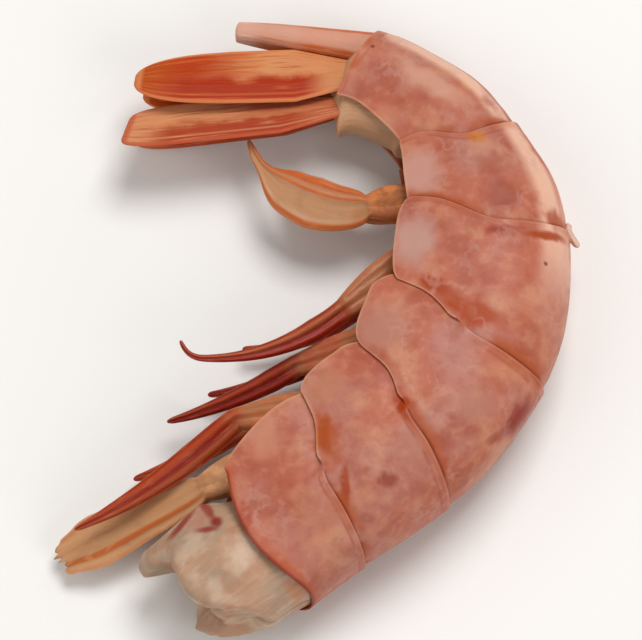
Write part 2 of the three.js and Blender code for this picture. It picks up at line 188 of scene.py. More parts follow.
@dataclass
class BodyForm:
    """The curled body's middle line and its sections, from the same sizes as its solids.

    The waves are crests of an inner seam, by height on the section.
    """

    neck: Span = (-6.0, -28.65)
    fan_heading: float = 186.0
    sink: float = 0.35
    lean_in: float = 0.1
    waves: tuple[Crest, ...] = (Crest(-0.68, 0.34, 1.0), Crest(0.02, 0.3, -0.5))
    # The walk along the middle line, and steps round a section for its slope and its length.
    walk_start: float = -20.0
    walk_past: float = 10.0
    walk_step: float = 0.25
    nudge: float = 0.01
    fine_arcs: int = 400

    def __post_init__(self) -> None:
        """Works out the seams' places and walks the middle line."""
        lengths = [ring.length for ring in RINGS]
        self.seam_at = np.concatenate([[0.0], np.cumsum(lengths)])
        self.end = float(self.seam_at[-1])
        middles = self.seam_at[:-1] + np.array(lengths) / 2
        self.turn_at = np.append(middles, self.end + middles[0])
        self.headings = np.array([ring.heading for ring in RINGS] + [self.fan_heading], float)
        self.stops = np.arange(self.walk_start, self.end + self.walk_past, self.walk_step)
        way = np.radians(self.heading(self.stops[:-1] + self.walk_step / 2))
        first = math.radians(self.headings[0])
        start_x = self.neck[0] + self.walk_start * math.cos(first)
        start_y = self.neck[1] + self.walk_start * math.sin(first)
        self.line_x = start_x + np.concatenate([[0.0], np.cumsum(np.cos(way))]) * self.walk_step
        self.line_y = start_y + np.concatenate([[0.0], np.cumsum(np.sin(way))]) * self.walk_step

    def heading(self, along: Array) -> Array:
        """The way the middle line heads.

        Args:
            along: Distances along it.

        Returns:
            Headings in degrees from +X.
        """
        ahead = np.clip(np.searchsorted(self.turn_at, along, side="right"), 1, len(self.turn_at) - 1)
        share = (along - self.turn_at[ahead - 1]) / (self.turn_at[ahead] - self.turn_at[ahead - 1])
        return blend(self.headings[ahead - 1], self.headings[ahead], smooth(share))

    def size(self, name: str, along: Array) -> Array:
        """A size of the body, on a smooth curve through its values at the seams.

        Args:
            name: Name of one of the seam's sizes.
            along: Distances along the middle line.

        Returns:
            The size at each distance.
        """
        values = np.array([getattr(seam, name) for seam in SEAMS], float)
        last = len(SEAMS) - 1
        i = np.clip(np.searchsorted(self.seam_at, along, side="right") - 1, 0, last - 1)
        share = np.clip((along - self.seam_at[i]) / (self.seam_at[i + 1] - self.seam_at[i]), 0, 1)
        start, end = values[i], values[i + 1]
        rise = (end - values[np.maximum(i - 1, 0)]) / 2
        fall = (values[np.minimum(i + 2, last)] - start) / 2
        curve = rise + fall - 2 * (end - start)
        return start + share * (rise + share * (3 * (end - start) - 2 * rise - fall + share * curve))

    def track(self, along: Array) -> Track:
        """Places on the middle line and the directions there.

        Args:
            along: Distances along the middle line.

        Returns:
            The track, with the back pointing away from the legs.
        """
        way = np.radians(self.heading(along))
        high = self.size("half", along) - self.sink + self.size("lift", along)
        flat_x = np.interp(along, self.stops, self.line_x)
        flat_y = np.interp(along, self.stops, self.line_y)
        level = np.zeros_like(way)
        return Track(
            np.stack([flat_x, flat_y, high], axis=1),
            np.stack([np.cos(way), np.sin(way), level], axis=1),
            np.stack([np.sin(way), -np.cos(way), level], axis=1),
        )

    def points(self, along: Array, side: Array, up: Array, floor: Array | float = 0.0) -> Array:
        """Points of the body, with what would lie under the floor flattened onto it.

        Args:
            along: Distances along the middle line.
            side: Distances out to the right side.
            up: Distances up towards the back.
            floor: Lowest height of each point.

        Returns:
            One point to a row.
        """
        track = self.track(along)
        found = track.place + track.back * up[:, None]
        found[:, 2] = np.maximum(found[:, 2] + side, floor)
        return found

    def height_share(self, arc: Array, square: Array | float) -> Array:
        """How high on its section a shell point sits: 1 on the ridge, 0 at the middle, -1 at a notch."""
        upper = np.abs(np.cos(math.pi * np.minimum(arc, 0.5))) ** (2 / square)
        return np.where(arc < 0.5, upper, 1 - 2 * arc)

    def section(self, along: Array, arc: Array, lobe: Array | float) -> tuple[Array, Array]:
        """The outside of the shell's section.

        Args:
            along: Distances along the body.
            arc: Places round the section, from 0 on the ridge of the back to 1 at a flap's edge.
            lobe: How far the flap hangs below its notches.

        Returns:
            Distances out to the side and up towards the back.
        """
        square, half = self.size("square", along), self.size("half", along)
        belly = self.size("belly", along)
        share = self.height_share(arc, square)
        low = (belly + lobe) * share
        round_side = half * np.sin(math.pi * np.minimum(arc, 0.5)) ** (2 / square)
        flap_side = half * (1 - self.lean_in * (low / belly) ** 2)
        side = np.where(arc < 0.5, round_side, flap_side)
        return side, np.where(arc < 0.5, self.size("back", along) * share, low)

    def inset(self, along: Array, arc: Array, lobe: Array | float, depth: Array) -> tuple[Array, Array]:
        """The shell's section moved in, square to itself.

        Args:
            along: Distances along the body.
            arc: Places round the section, as section takes them.
            lobe: How far the flap hangs below its notches.
            depth: How far it is moved in.

        Returns:
            Distances out to the side and up towards the back.
        """
        side, up = self.section(along, arc, lobe)
        side_before, up_before = self.section(along, np.maximum(arc - self.nudge, 0), lobe)
        side_after, up_after = self.section(along, np.minimum(arc + self.nudge, 1), lobe)
        across = np.where(arc == 0, 1.0, side_after - side_before)
        down = np.where(arc == 0, 0.0, up_after - up_before)
        length = np.hypot(across, down)
        return side + depth * down / length, up - depth * across / length

    def seam_edge(self, number: int, height: Array) -> Array:
        """Where a seam runs along the body: it leans and bows, and an inner one waves.

        Args:
            number: The seam's number.
            height: Heights on its section.

        Returns:
            Distances along the body.
        """
        seam = SEAMS[number]
        wave = raised(self.waves, height) if 0 < number < len(RINGS) else 0.0
        return self.seam_at[number] - seam.lean * height - seam.bow * (1 - height**2) + wave

    def even_arcs(self, along: float, lobe: float, count: int) -> Array:
        """Places round one side of a section, spaced evenly on its outline.

        Args:
            along: Where the section is.
            lobe: How far the flap hangs below its notches.
            count: How many places there are.

        Returns:
            The places, from the ridge of the back down.
        """
        arcs = np.linspace(0, 1, self.fine_arcs)
        side, up = self.section(np.full_like(arcs, along), arcs, lobe)
        steps = np.hypot(np.diff(side), np.diff(up))
        reached = np.concatenate([[0.0], np.cumsum(steps)])
        return np.interp(np.linspace(0, reached[-1], count), reached, arcs)


class Workbench:
    """Steps of modelling that every piece goes through."""

    merge_distance = 1e-7

    @staticmethod
    def grid(name: str, columns: int, rows: int) -> tuple[Piece, Array, Array]:
        """Adds a flat grid to be shaped.

        Args:
            name: Name of the piece.
            columns: Faces across it.
            rows: Faces along it.

        Returns:
            The piece, and each point's column and row.
        """
        bpy.ops.object.select_all(action="DESELECT")
        bpy.ops.mesh.primitive_grid_add(x_subdivisions=columns, y_subdivisions=rows, size=1)
        piece = bpy.context.active_object
        piece.name = piece.data.name = name
        flat = np.empty(len(piece.data.vertices) * 3)
        piece.data.vertices.foreach_get("co", flat)
        flat = flat.reshape(-1, 3)
        share = (flat - flat.min(axis=0))[:, :2] / np.ptp(flat, axis=0)[:2]
        column, row = np.rint(share * (columns, rows)).astype(int).T
        return piece, column, row

    @staticmethod
    def place(piece: Piece, points: Array) -> None:
        """Moves a piece's points to their places, given in millimetres."""
        piece.data.vertices.foreach_set("co", (points * MM).ravel())
        piece.data.update()

    @staticmethod
    def note(piece: Piece, **readings: Array) -> None:
        """Keeps readings for a finish.

        Args:
            piece: The piece.
            readings: One value for each of its points, by name.
        """
        for name, values in readings.items():
            made = piece.data.attributes.new(name, "FLOAT", "POINT")
            made.data.foreach_set("value", np.asarray(values, np.float32))

    @staticmethod
    def ground(piece: Piece) -> None:
        """Lifts what a modifier has pushed under the surface that the part rests on.

        Args:
            piece: The piece.
        """
        for vertex in piece.data.vertices:
            vertex.co.z = max(vertex.co.z, 0.0)
        piece.data.update()

    @classmethod
    def close(cls, piece: Piece) -> None:
        """Joins a rolled grid's two edges, closes its ends and turns its faces outwards.

        Args:
            piece: The rolled grid.
        """
        cls.pick(piece)
        bpy.ops.object.mode_set(mode="EDIT")
        bpy.ops.mesh.select_all(action="SELECT")
        bpy.ops.mesh.remove_doubles(threshold=cls.merge_distance)
        bpy.ops.mesh.dissolve_degenerate(threshold=cls.merge_distance)
        bpy.ops.mesh.fill_holes(sides=0)
        bpy.ops.mesh.select_all(action="SELECT")
        bpy.ops.mesh.normals_make_consistent(inside=False)
        bpy.ops.object.mode_set(mode="OBJECT")
        bpy.ops.object.shade_smooth()

    @staticmethod
    def pick(piece: Piece) -> None:
        """Selects one piece alone and makes it the active one.

        Args:
            piece: The piece.
        """
        bpy.ops.object.select_all(action="DESELECT")
        piece.select_set(True)
        bpy.context.view_layer.objects.active = piece

    @classmethod
    def apply(cls, piece: Piece, kind: str, **settings: object) -> None:
        """Adds a modifier with its settings and applies it.

        Args:
            piece: The piece that it shapes.
            kind: The modifier's type.
            settings: Its settings.
        """
        cls.pick(piece)
        modifier = piece.modifiers.new(kind.title(), kind)
        for name, value in settings.items():
            setattr(modifier, name, value)
        bpy.ops.object.modifier_apply(modifier=modifier.name)

    @staticmethod
    def hand_over(piece: Piece, slot: Slot, finish: bpy.types.Material) -> None:
        """Dresses a finished piece, and ties it to the frame in place of the solid of its name.

        Args:
            piece: The piece.
            slot: Its material slot; not used.
            finish: Its material.
        """
        piece.data.materials.clear()
        piece.data.materials.append(finish)
        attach(piece, "root")
        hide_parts(piece.name.removesuffix("_piece"))
        log.info("%s: %d faces", piece.name, len(piece.data.polygons))


@dataclass(frozen=True)
class Film:
    """How a moist surface takes light.

    Its roughness varies in patches, whose size and whose light's reach are in millimetres. Flesh is how
    much light goes into it, and a shine of 0.5 mirrors plainly.
    """

    rough: float
    varies: float
    patch: float
    shift: float
    flesh: float
    coat: float
    shine: float
    spread: Place = (1.0, 0.45, 0.3)
    reach: float = 1.2
    coat_rough: float = 0.22
    bend: float = 1.42


def linear(paint: Paint) -> tuple[float, float, float]:
    """A colour picked on screen, from 0 to 255, as the light that a shader takes."""
    shares = [value / 255 for value in paint]
    return tuple(s / 12.92 if s <= 0.04045 else ((s + 0.055) / 1.055) ** 2.4 for s in shares)


class Graph:
    """Builds the nodes of one finish."""

    wander = 2.2
    spot_core = 0.35

    def __init__(self, name: str) -> None:
        """Starts a material with its shader and its place on the part.

        Args:
            name: The material's name.
        """
        self.material = bpy.data.materials.new(name)
        self.material.use_nodes = True
        self.tree = self.material.node_tree
        self.shader = self.tree.nodes["Principled BSDF"]
        self.place = self.node("ShaderNodeTexCoord").outputs["Object"]

    def node(
        self, kind: str, inputs: dict[int | str, object] | None = None, **settings: object
    ) -> bpy.types.Node:
        """Adds a node.

        Args:
            kind: Its type.
            inputs: What its sockets take, by their number or name.
            settings: Its other settings.

        Returns:
            The node.
        """
        made = self.tree.nodes.new(kind)
        for name, value in settings.items():
            setattr(made, name, value)
        for key, value in (inputs or {}).items():
            self.feed(made.inputs[key], value)
        return made

    def feed(self, socket: Socket, value: object) -> None:
        """Links a socket to another, or sets it to a plain value or colour.

        Args:
            socket: The socket.
            value: Another socket, a number, a vector, or a paint where the socket takes a colour.
        """
        if isinstance(value, bpy.types.NodeSocket):
            self.tree.links.new(value, socket)
        elif isinstance(value, tuple) and len(value) == 3 and socket.type == "RGBA":
            socket.default_value = (*linear(value), 1.0)
        else:
            socket.default_value = value

    def calc(self, operation: str, *values: object, held: bool = True) -> Socket:
        """A sum, product or other function of one to three values, held between 0 and 1 or free."""
        made = self.node("ShaderNodeMath", dict(enumerate(values)), operation=operation, use_clamp=held)
        return made.outputs[0]

    def vector(self, operation: str, *values: object) -> Socket:
        """A sum, product or other function of vectors."""
        return self.node("ShaderNodeVectorMath", dict(enumerate(values)), operation=operation).outputs[0]

    def both(self, first: object, second: object) -> Socket:
        """The product of two shares."""
        return self.calc("MULTIPLY", first, second)

    def either(self, first: object, second: object) -> Socket:
        """The larger of two shares."""
        return self.calc("MAXIMUM", first, second)

    def shaken(self, value: object, pattern: Socket, reach: float, base: float = 0.0) -> Socket:
        """A value with a pattern added, as far as it reaches and from a base on. It may leave 0 to 1."""
        added = self.calc("MULTIPLY_ADD", pattern, reach, base, held=False)
        return self.calc("ADD", value, added, held=False)

    def reading(self, name: str) -> Socket:
        """The value that the piece's points keep under a name."""
        return self.node("ShaderNodeAttribute", attribute_name=name).outputs["Fac"]

    def rise(self, value: Socket, low: float, high: float) -> Socket:
        """Eases from 0 where the value is low to 1 where it is high. Low may be the larger."""
        inputs = {"Value": value, "From Min": low, "From Max": high}
        return self.node("ShaderNodeMapRange", inputs, interpolation_type="SMOOTHSTEP").outputs["Result"]

    def grain(
        self, period: float, detail: float = 3.0, shift: float = 0.0, place: Socket | None = None
    ) -> Socket:
        """Cloudy noise from 0 to 1.

        Args:
            period: Size of its clouds in millimetres.
            detail: How many finer sizes it holds.
            shift: Offset that tells one noise from another.
            place: Coordinates that it follows, or None for the part's own.

        Returns:
            The noise's value.
        """
        moved = self.vector("ADD", place or self.place, (shift, -shift, shift))
        inputs = {"Vector": moved, "Scale": 1 / (period * MM), "Detail": detail}
        return self.node("ShaderNodeTexNoise", inputs).outputs["Fac"]

    def cells(self, period: float) -> Socket:
        """Distance from the middle of the nearest of many small cells."""
        inputs = {"Vector": self.place, "Scale": 1 / (period * MM)}
        return self.node("ShaderNodeTexVoronoi", inputs).outputs["Distance"]

    def scaled(self, name: str, scale: float) -> Socket:
        """One of the points' readings, stretched."""
        return self.calc("MULTIPLY", self.reading(name), scale * MM, held=False)

    def streaks(self, first: tuple[str, float], second: tuple[str, float]) -> Socket:
        """Coordinates from two of the points' readings, each with how far it is stretched."""
        places = {0: self.scaled(*first), 1: self.scaled(*second)}
        return self.node("ShaderNodeCombineXYZ", places).outputs[0]

    def mix(self, share: object, under: object, over: object) -> Socket:
        """Lays one colour over another by a share."""
        return self.node("ShaderNodeMix", {0: share, 6: under, 7: over}, data_type="RGBA").outputs[2]

    def tint(self, colour: object, paint: object, share: Socket, strength: float = 1.0) -> Socket:
        """Lays a paint over a colour by a share, at most as strongly as given."""
        return self.mix(self.both(share, strength), colour, paint)

    def spot(self, centre: Place, size: Place, warp: float, turn: float) -> Socket:
        """A soft spot with an uneven edge.

        Args:
            centre: Its middle in millimetres.
            size: Its half sizes in millimetres.
            warp: How far its edge wanders in millimetres.
            turn: How far it is turned in plan, in degrees.

        Returns:
            1 in its middle and 0 outside.
        """
        pattern = self.node("ShaderNodeTexNoise", {"Vector": self.place, "Scale": 1 / (self.wander * MM)})
        bent = self.vector("MULTIPLY_ADD", pattern.outputs["Color"], (2 * warp * MM,) * 3, self.place)
        away = self.vector("SUBTRACT", bent, tuple((value + warp) * MM for value in centre))
        inputs = {"Vector": away, "Angle": -math.radians(turn)}
        turned = self.node("ShaderNodeVectorRotate", inputs, rotation_type="Z_AXIS").outputs[0]
        scaled = self.vector("DIVIDE", turned, tuple(value * MM for value in size))
        length = self.node("ShaderNodeVectorMath", {0: scaled}, operation="LENGTH").outputs["Value"]
        return self.rise(length, 1.0, self.spot_core)

    def bump(self, height: Socket, depth: float, below: Socket | None = None) -> Socket:
        """A bump over the surface or over another bump.

        Args:
            height: Its height, from 0 to 1.
            depth: Its depth in millimetres.
            below: The other bump.

        Returns:
            The bumped normal.
        """
        inputs = {"Strength": 1.0, "Distance": depth * MM, "Height": height}
        if below is not None:
            inputs["Normal"] = below
        return self.node("ShaderNodeBump", inputs).outputs["Normal"]

    def wet(self, colour: Socket, normal: Socket, film: Film) -> None:
        """Sets the shader of a moist, slightly translucent surface.

        Args:
            colour: Colour of the surface.
            normal: Its bumps.
            film: How it takes light.
        """
        patches = self.grain(film.patch, shift=film.shift)
        settings = {
            "Base Color": colour,
            "Roughness": self.calc("MULTIPLY_ADD", patches, film.varies, film.rough),
            "Normal": normal,
            "Subsurface Weight": film.flesh,
            "Subsurface Radius": film.spread,
            "Subsurface Scale": film.reach * MM,
            "Coat Weight": film.coat,
            "Coat Roughness": film.coat_rough,
            "IOR": film.bend,
            "Specular IOR Level": film.shine,
        }
        for name, value in settings.items():
            self.feed(self.shader.inputs[name], value)


@dataclass(frozen=True)
class Stain:
    """A patch of colour, with its middle and its half sizes in millimetres.

    Its edge wanders by the warp, in millimetres, and it is turned in plan, in degrees.
    """

    centre: Place
    size: Place
    paint: Paint
    strength: float
    warp: float = 1.2
    turn: float = 0.0

    def lay(self, graph: Graph, colour: object) -> Socket:
        """Lays the stain over a colour and returns the result."""
        spot = graph.spot(self.centre, self.size, self.warp, self.turn)
        return graph.tint(colour, self.paint, spot, self.strength)


@dataclass(frozen=True)
class Cloud:
    """A paint laid on in soft patches of noise, whose period is in millimetres.

    The shift tells one cloud from another, and the span is the noise where a patch begins and covers.
    """

    paint: Paint
    strength: float
    period: float
    detail: float
    shift: float
    span: Span

    def noise(self, graph: Graph, place: Socket | None = None) -> Socket:
        """The noise that sets the patches, on the part's own coordinates or others."""
        return graph.grain(self.period, self.detail, self.shift, place)

    def lay(
        self, graph: Graph, colour: object, where: Socket | None = None, place: Socket | None = None
    ) -> Socket:
        """Lays the cloud over a colour.

        Args:
            graph: The finish's nodes.
            colour: The colour under it.
            where: Share that keeps it to a region, or None for everywhere.
            place: Coordinates that it follows, or None for the part's own.

        Returns:
            The clouded colour.
        """
        share = graph.rise(self.noise(graph, place), *self.span)
        if where is not None:
            share = graph.both(share, where)
        return graph.tint(colour, self.paint, share, self.strength)


@dataclass(frozen=True)
class Band:
    """A paint laid by a reading of the points. The span is where it begins and where it covers fully."""

    paint: Paint
    strength: float
    reading: str
    span: Span

    def lay(self, graph: Graph, colour: object) -> Socket:
        """Lays the band over a colour and returns the result."""
        share = graph.rise(graph.reading(self.reading), *self.span)
        return graph.tint(colour, self.paint, share, self.strength)


def lay_all(graph: Graph, colour: object, layers: tuple[Stain | Cloud | Band, ...]) -> Socket:
    """Lays paints over a colour in their order.

    Args:
        graph: The finish's nodes.
        colour: The colour under them.
        layers: The paints.

    Returns:
        The painted colour.
    """
    for layer in layers:
        colour = layer.lay(graph, colour)
    return colour


LILAC_PATCHES = (
    Stain((13.8, 15.8, 13.0), (1.6, 1.3, 1.6), (146, 84, 76), 0.55),
    Stain((11.6, 17.2, 12.4), (3.6, 4.8, 4.0), (198, 144, 130), 0.9),
    Stain((13.4, 29.0, 10.5), (6.5, 2.1, 4.0), (208, 150, 126), 0.8, 1.0, -33),
    Stain((11.0, 7.4, 14.5), (4.0, 4.6, 4.0), (190, 144, 130), 0.9),
    Stain((7.2, -4.2, 15.7), (4.0, 4.0, 4.0), (180, 124, 106), 0.75),
    Stain((17.4, -13.6, 15.0), (5.0, 3.0, 4.0), (182, 122, 104), 0.6),
    Stain((0.4, -11.6, 15.6), (3.2, 2.8, 3.4), (184, 118, 88), 0.7),
    Stain((11.6, -17.6, 16.0), (3.2, 4.4, 4.0), (184, 124, 104), 0.6),
    Stain((-6.8, -17.4, 13.6), (3.4, 4.2, 5.0), (200, 132, 108), 0.8),
    Stain((0.4, -26.8, 15.8), (3.4, 3.0, 4.0), (182, 116, 94), 0.5),
)

SEAM_MARKS = (
    Stain((18.6, 21.5, 12.4), (1.7, 1.1, 1.6), (198, 116, 24), 0.85, 0.5),
    Stain((21.6, 13.2, 13.8), (3.2, 3.4, 3.0), (150, 66, 42), 0.8),
    Stain((20.6, 17.0, 13.0), (2.6, 2.4, 2.6), (160, 78, 54), 0.6),
    Stain((21.4, 8.4, 15.1), (2.8, 1.3, 3.4), (150, 48, 4), 0.95, 0.8),
    Stain((26.8, 8.5, 12.4), (4.6, 0.85, 5.0), (162, 60, 12), 0.95, 0.5, 6),
    Stain((17.8, -2.2, 15.8), (5.4, 2.6, 3.6), (166, 62, 0), 1.0, 1.3, -24),
    Stain((13.6, 1.2, 15.4), (3.6, 1.4, 3.4), (162, 62, 14), 0.9, 0.9, -34),
    Stain((25.2, -8.8, 12.4), (2.8, 1.0, 3.4), (158, 60, 18), 0.8, 0.6, -42),
    Stain((26.7, 4.8, 13.6), (0.42, 0.42, 0.6), (92, 20, 14), 0.8, 0.2),
    Stain((23.2, -13.8, 11.0), (3.8, 1.1, 4.0), (138, 32, 4), 0.95, 0.5, 52),
    Stain((20.4, -16.8, 12.4), (2.2, 0.7, 3.0), (150, 60, 34), 0.6, 0.5, 40),
    Stain((7.9, -23.2, 16.2), (1.7, 1.3, 1.5), (142, 60, 44), 0.8, 0.8),
    Stain((5.2, -27.3, 14.2), (1.6, 0.7, 1.4), (138, 62, 46), 0.5, 0.5),
    Stain((10.1, -14.6, 16.8), (1.3, 3.8, 3.2), (162, 56, 6), 1.0, 0.8, 24),
    Stain((0.4, -18.0, 15.8), (2.2, 4.6, 3.8), (168, 70, 10), 0.95, 1.7, 14),
    Stain((2.8, -24.0, 16.4), (1.0, 4.2, 3.4), (158, 58, 14), 0.85, 0.9),
    Stain((-8.9, -27.4, 15.0), (1.1, 3.4, 2.6), (158, 56, 28), 0.8, 0.6),
    Stain((-3.4, -32.6, 11.6), (2.2, 1.4, 3.0), (176, 82, 34), 0.85, 0.7),
    Stain((3.4, 32.5, 9.4), (2.2, 1.7, 2.4), (176, 84, 44), 0.8, 0.8),
    Stain((6.2, 34.2, 9.7), (0.45, 0.4, 0.6), (60, 22, 14), 0.95, 0.1),
)


@dataclass(frozen=True)
class ShellFinish:
    """Thin moist shell over flesh: rosy and mauve clouds, pale marbling, amber seams and fine pits.

    Spans of behind, ahead, flap and neck are distances from the plate's edges in millimetres, those of
    along are distances from the neck, and those of height run from 0 at the middle to 1 on the ridge.
    """

    rose: Paint = (184, 102, 78)
    mauve: Paint = (180, 114, 98)
    cream: Paint = (208, 144, 110)
    brick: Paint = (160, 74, 54)
    amber: Paint = (170, 76, 30)
    # Dark red of the seams' lines and of the neck's front edge; at the seams it is partly painted contact
    # shadow.
    line: Paint = (118, 32, 16)
    rim: Paint = (216, 160, 120)
    lilac: Paint = (196, 142, 126)
    # Pale paint of the painted highlight beside the ridge of the back.
    light: Paint = (240, 184, 158)
    keel: Paint = (170, 66, 26)
    edge: Paint = (176, 78, 34)
    clouds: tuple[Cloud, ...] = (
        Cloud(mauve, 1.0, 9.0, 1.5, 0.0, (0.36, 0.64)),
        Cloud(cream, 0.6, 5.5, 2.0, 0.31, (0.46, 0.72)),
        Cloud(brick, 0.7, 6.4, 2.0, 0.57, (0.46, 0.74)),
        Cloud(brick, 0.3, 1.3, 3.0, 0.73, (0.51, 0.68)),
        Cloud(cream, 0.28, 1.3, 3.0, 0.73, (0.48, 0.32)),
    )
    stains: tuple[Stain, ...] = (*LILAC_PATCHES, *SEAM_MARKS)
    # Painted highlight: pale patches beside the ridge of the back over the last rings, where the back turns
    # from the light.
    back: Cloud = Cloud(light, 0.85, 5.0, 3.0, 0.42, (0.3, 0.5))
    back_from: Span = (36.0, 50.0)
    back_to: Span = (84.0, 74.0)
    back_height: Span = (0.54, 0.74)
    keel_from: Span = (44.0, 58.0)
    keel_height: Span = (0.87, 0.95)
    keel_strength: float = 0.85
    threads: Cloud = Cloud(lilac, 0.4, 6.0, 2.0, 0.88, (0.44, 0.66))
    thread_period: float = 3.2
    thread_detail: float = 5.0
    thread_shift: float = 0.19
    thread_wide: float = 0.07
    breaks: Cloud = Cloud(amber, 0.85, 4.6, 2.0, 0.66, (0.36, 0.54))
    skin_behind: Span = (1.9, 0.3)
    skin_ahead: Span = (1.3, 0.1)
    ahead_strength: float = 0.45
    # The dark line just behind a seam's edge: the seam's dark red, and painted contact shadow under the
    # overlapping rim.
    line_behind: Span = (0.5, 0.12)
    line_least: float = 0.3
    line_more: float = 0.5
    second: Cloud = Cloud(brick, 0.5, 3.0, 2.0, 0.21, (0.36, 0.56))
    second_from: Span = (1.15, 0.85)
    second_to: Span = (0.55, 0.85)
    rims: tuple[Band, ...] = (Band(rim, 0.15, "ahead", (0.3, 0.08)), Band(rim, 0.4, "flap", (0.42, 0.08)))
    neck_grain: Cloud = Cloud(edge, 0.65, 2.4, 3.0, 0.5, (2.4, 1.2))
    neck_uneven: float = 1.6
    neck_front: Band = Band(line, 0.75, "neck", (0.6, 0.15))
    waves: Span = (1.6, 0.12)
    wave_shift: float = 0.9
    pits: Span = (0.36, 0.008)
    pit_edge: Span = (0.05, 0.35)
    film: Film = Film(rough=0.36, varies=0.3, patch=2.0, shift=0.11, flesh=0.3, coat=0.08, shine=0.24)

    def material(self) -> bpy.types.Material:
        """Makes the finish.

        Returns:
            The material of all the shell plates.
        """
        graph = Graph("shell")
        colour = lay_all(graph, self.rose, self.clouds)
        # Painted highlight along the back, with the amber keel.
        colour = self.back_highlight_and_keel(graph, colour)
        colour = lay_all(graph, colour, self.stains)
        colour = self.marbling(graph, colour)
        colour = lay_all(graph, self.seams(graph, colour), self.rims)
        colour = self.neck_front.lay(graph, self.neck(graph, colour))
        wave_period, wave_depth = self.waves
        pit_period, pit_depth = self.pits
        normal = graph.bump(graph.grain(wave_period, shift=self.wave_shift), wave_depth)
        normal = graph.bump(graph.rise(graph.cells(pit_period), *self.pit_edge), pit_depth, normal)
        graph.wet(colour, normal, self.film)
        return graph.material

    def back_highlight_and_keel(self, graph: Graph, colour: Socket) -> Socket:
        """Lays the painted highlight, a pale band beside the ridge of the back over the last rings, and its
        amber keel.

        Args:
            graph: The finish's nodes.
            colour: The colour under it.

        Returns:
            The banded colour.
        """
        along, height = graph.reading("along"), graph.reading("height")
        reach = graph.both(graph.rise(along, *self.back_from), graph.rise(along, *self.back_to))
        band = graph.both(graph.rise(height, *self.back_height), reach)
        colour = self.back.lay(graph, colour, band)
        ridge = graph.both(graph.rise(along, *self.keel_from), graph.rise(height, *self.keel_height))
        return graph.tint(colour, self.keel, ridge, self.keel_strength)

    def marbling(self, graph: Graph, colour: Socket) -> Socket:
        """Lays pale threads that branch through the clouds, where the flesh under the shell is loose.

        Args:
            graph: The finish's nodes.
            colour: The colour under it.

        Returns:
            The marbled colour.
        """
        pattern = graph.grain(self.thread_period, self.thread_detail, self.thread_shift)
        folds = graph.calc("ABSOLUTE", graph.calc("SUBTRACT", pattern, 0.5, held=False))
        return self.threads.lay(graph, colour, graph.rise(folds, self.thread_wide, 0.0))

    def seams(self, graph: Graph, colour: Socket) -> Socket:
        """Lays the amber skin at each seam, the dark line there, partly its own colour and partly painted
        contact shadow, and the fainter second line.

        Args:
            graph: The finish's nodes.
            colour: The colour under it.

        Returns:
            The colour with its seams.
        """
        behind, ahead = graph.reading("behind"), graph.reading("ahead")
        broken = graph.rise(self.breaks.noise(graph), *self.breaks.span)
        skin = graph.both(graph.rise(behind, *self.skin_behind), broken)
        colour = graph.tint(colour, self.amber, skin, self.breaks.strength)
        front = graph.both(graph.rise(ahead, *self.skin_ahead), broken)
        colour = graph.tint(colour, self.amber, front, self.ahead_strength)
        # Dark line behind each visible edge: partly the seam's dark red, partly painted contact shadow under
        # the overlapping rim, broken by noise.
        dark = graph.calc("MULTIPLY_ADD", broken, self.line_more, self.line_least)
        colour = graph.mix(graph.both(graph.rise(behind, *self.line_behind), dark), colour, self.line)
        second = graph.both(graph.rise(ahead, *self.second_from), graph.rise(ahead, *self.second_to))
        return self.second.lay(graph, colour, second)

    def neck(self, graph: Graph, colour: Socket) -> Socket:
        """Lays the amber skin with its uneven edge at the front of the first plate.

        Args:
            graph: The finish's nodes.
            colour: The colour under it.

        Returns:
            The colour with the skin.
        """
        distance = graph.shaken(graph.reading("neck"), self.neck_grain.noise(graph), self.neck_uneven)
        share = graph.rise(distance, *self.neck_grain.span)
        return graph.tint(colour, self.edge, share, self.neck_grain.strength)


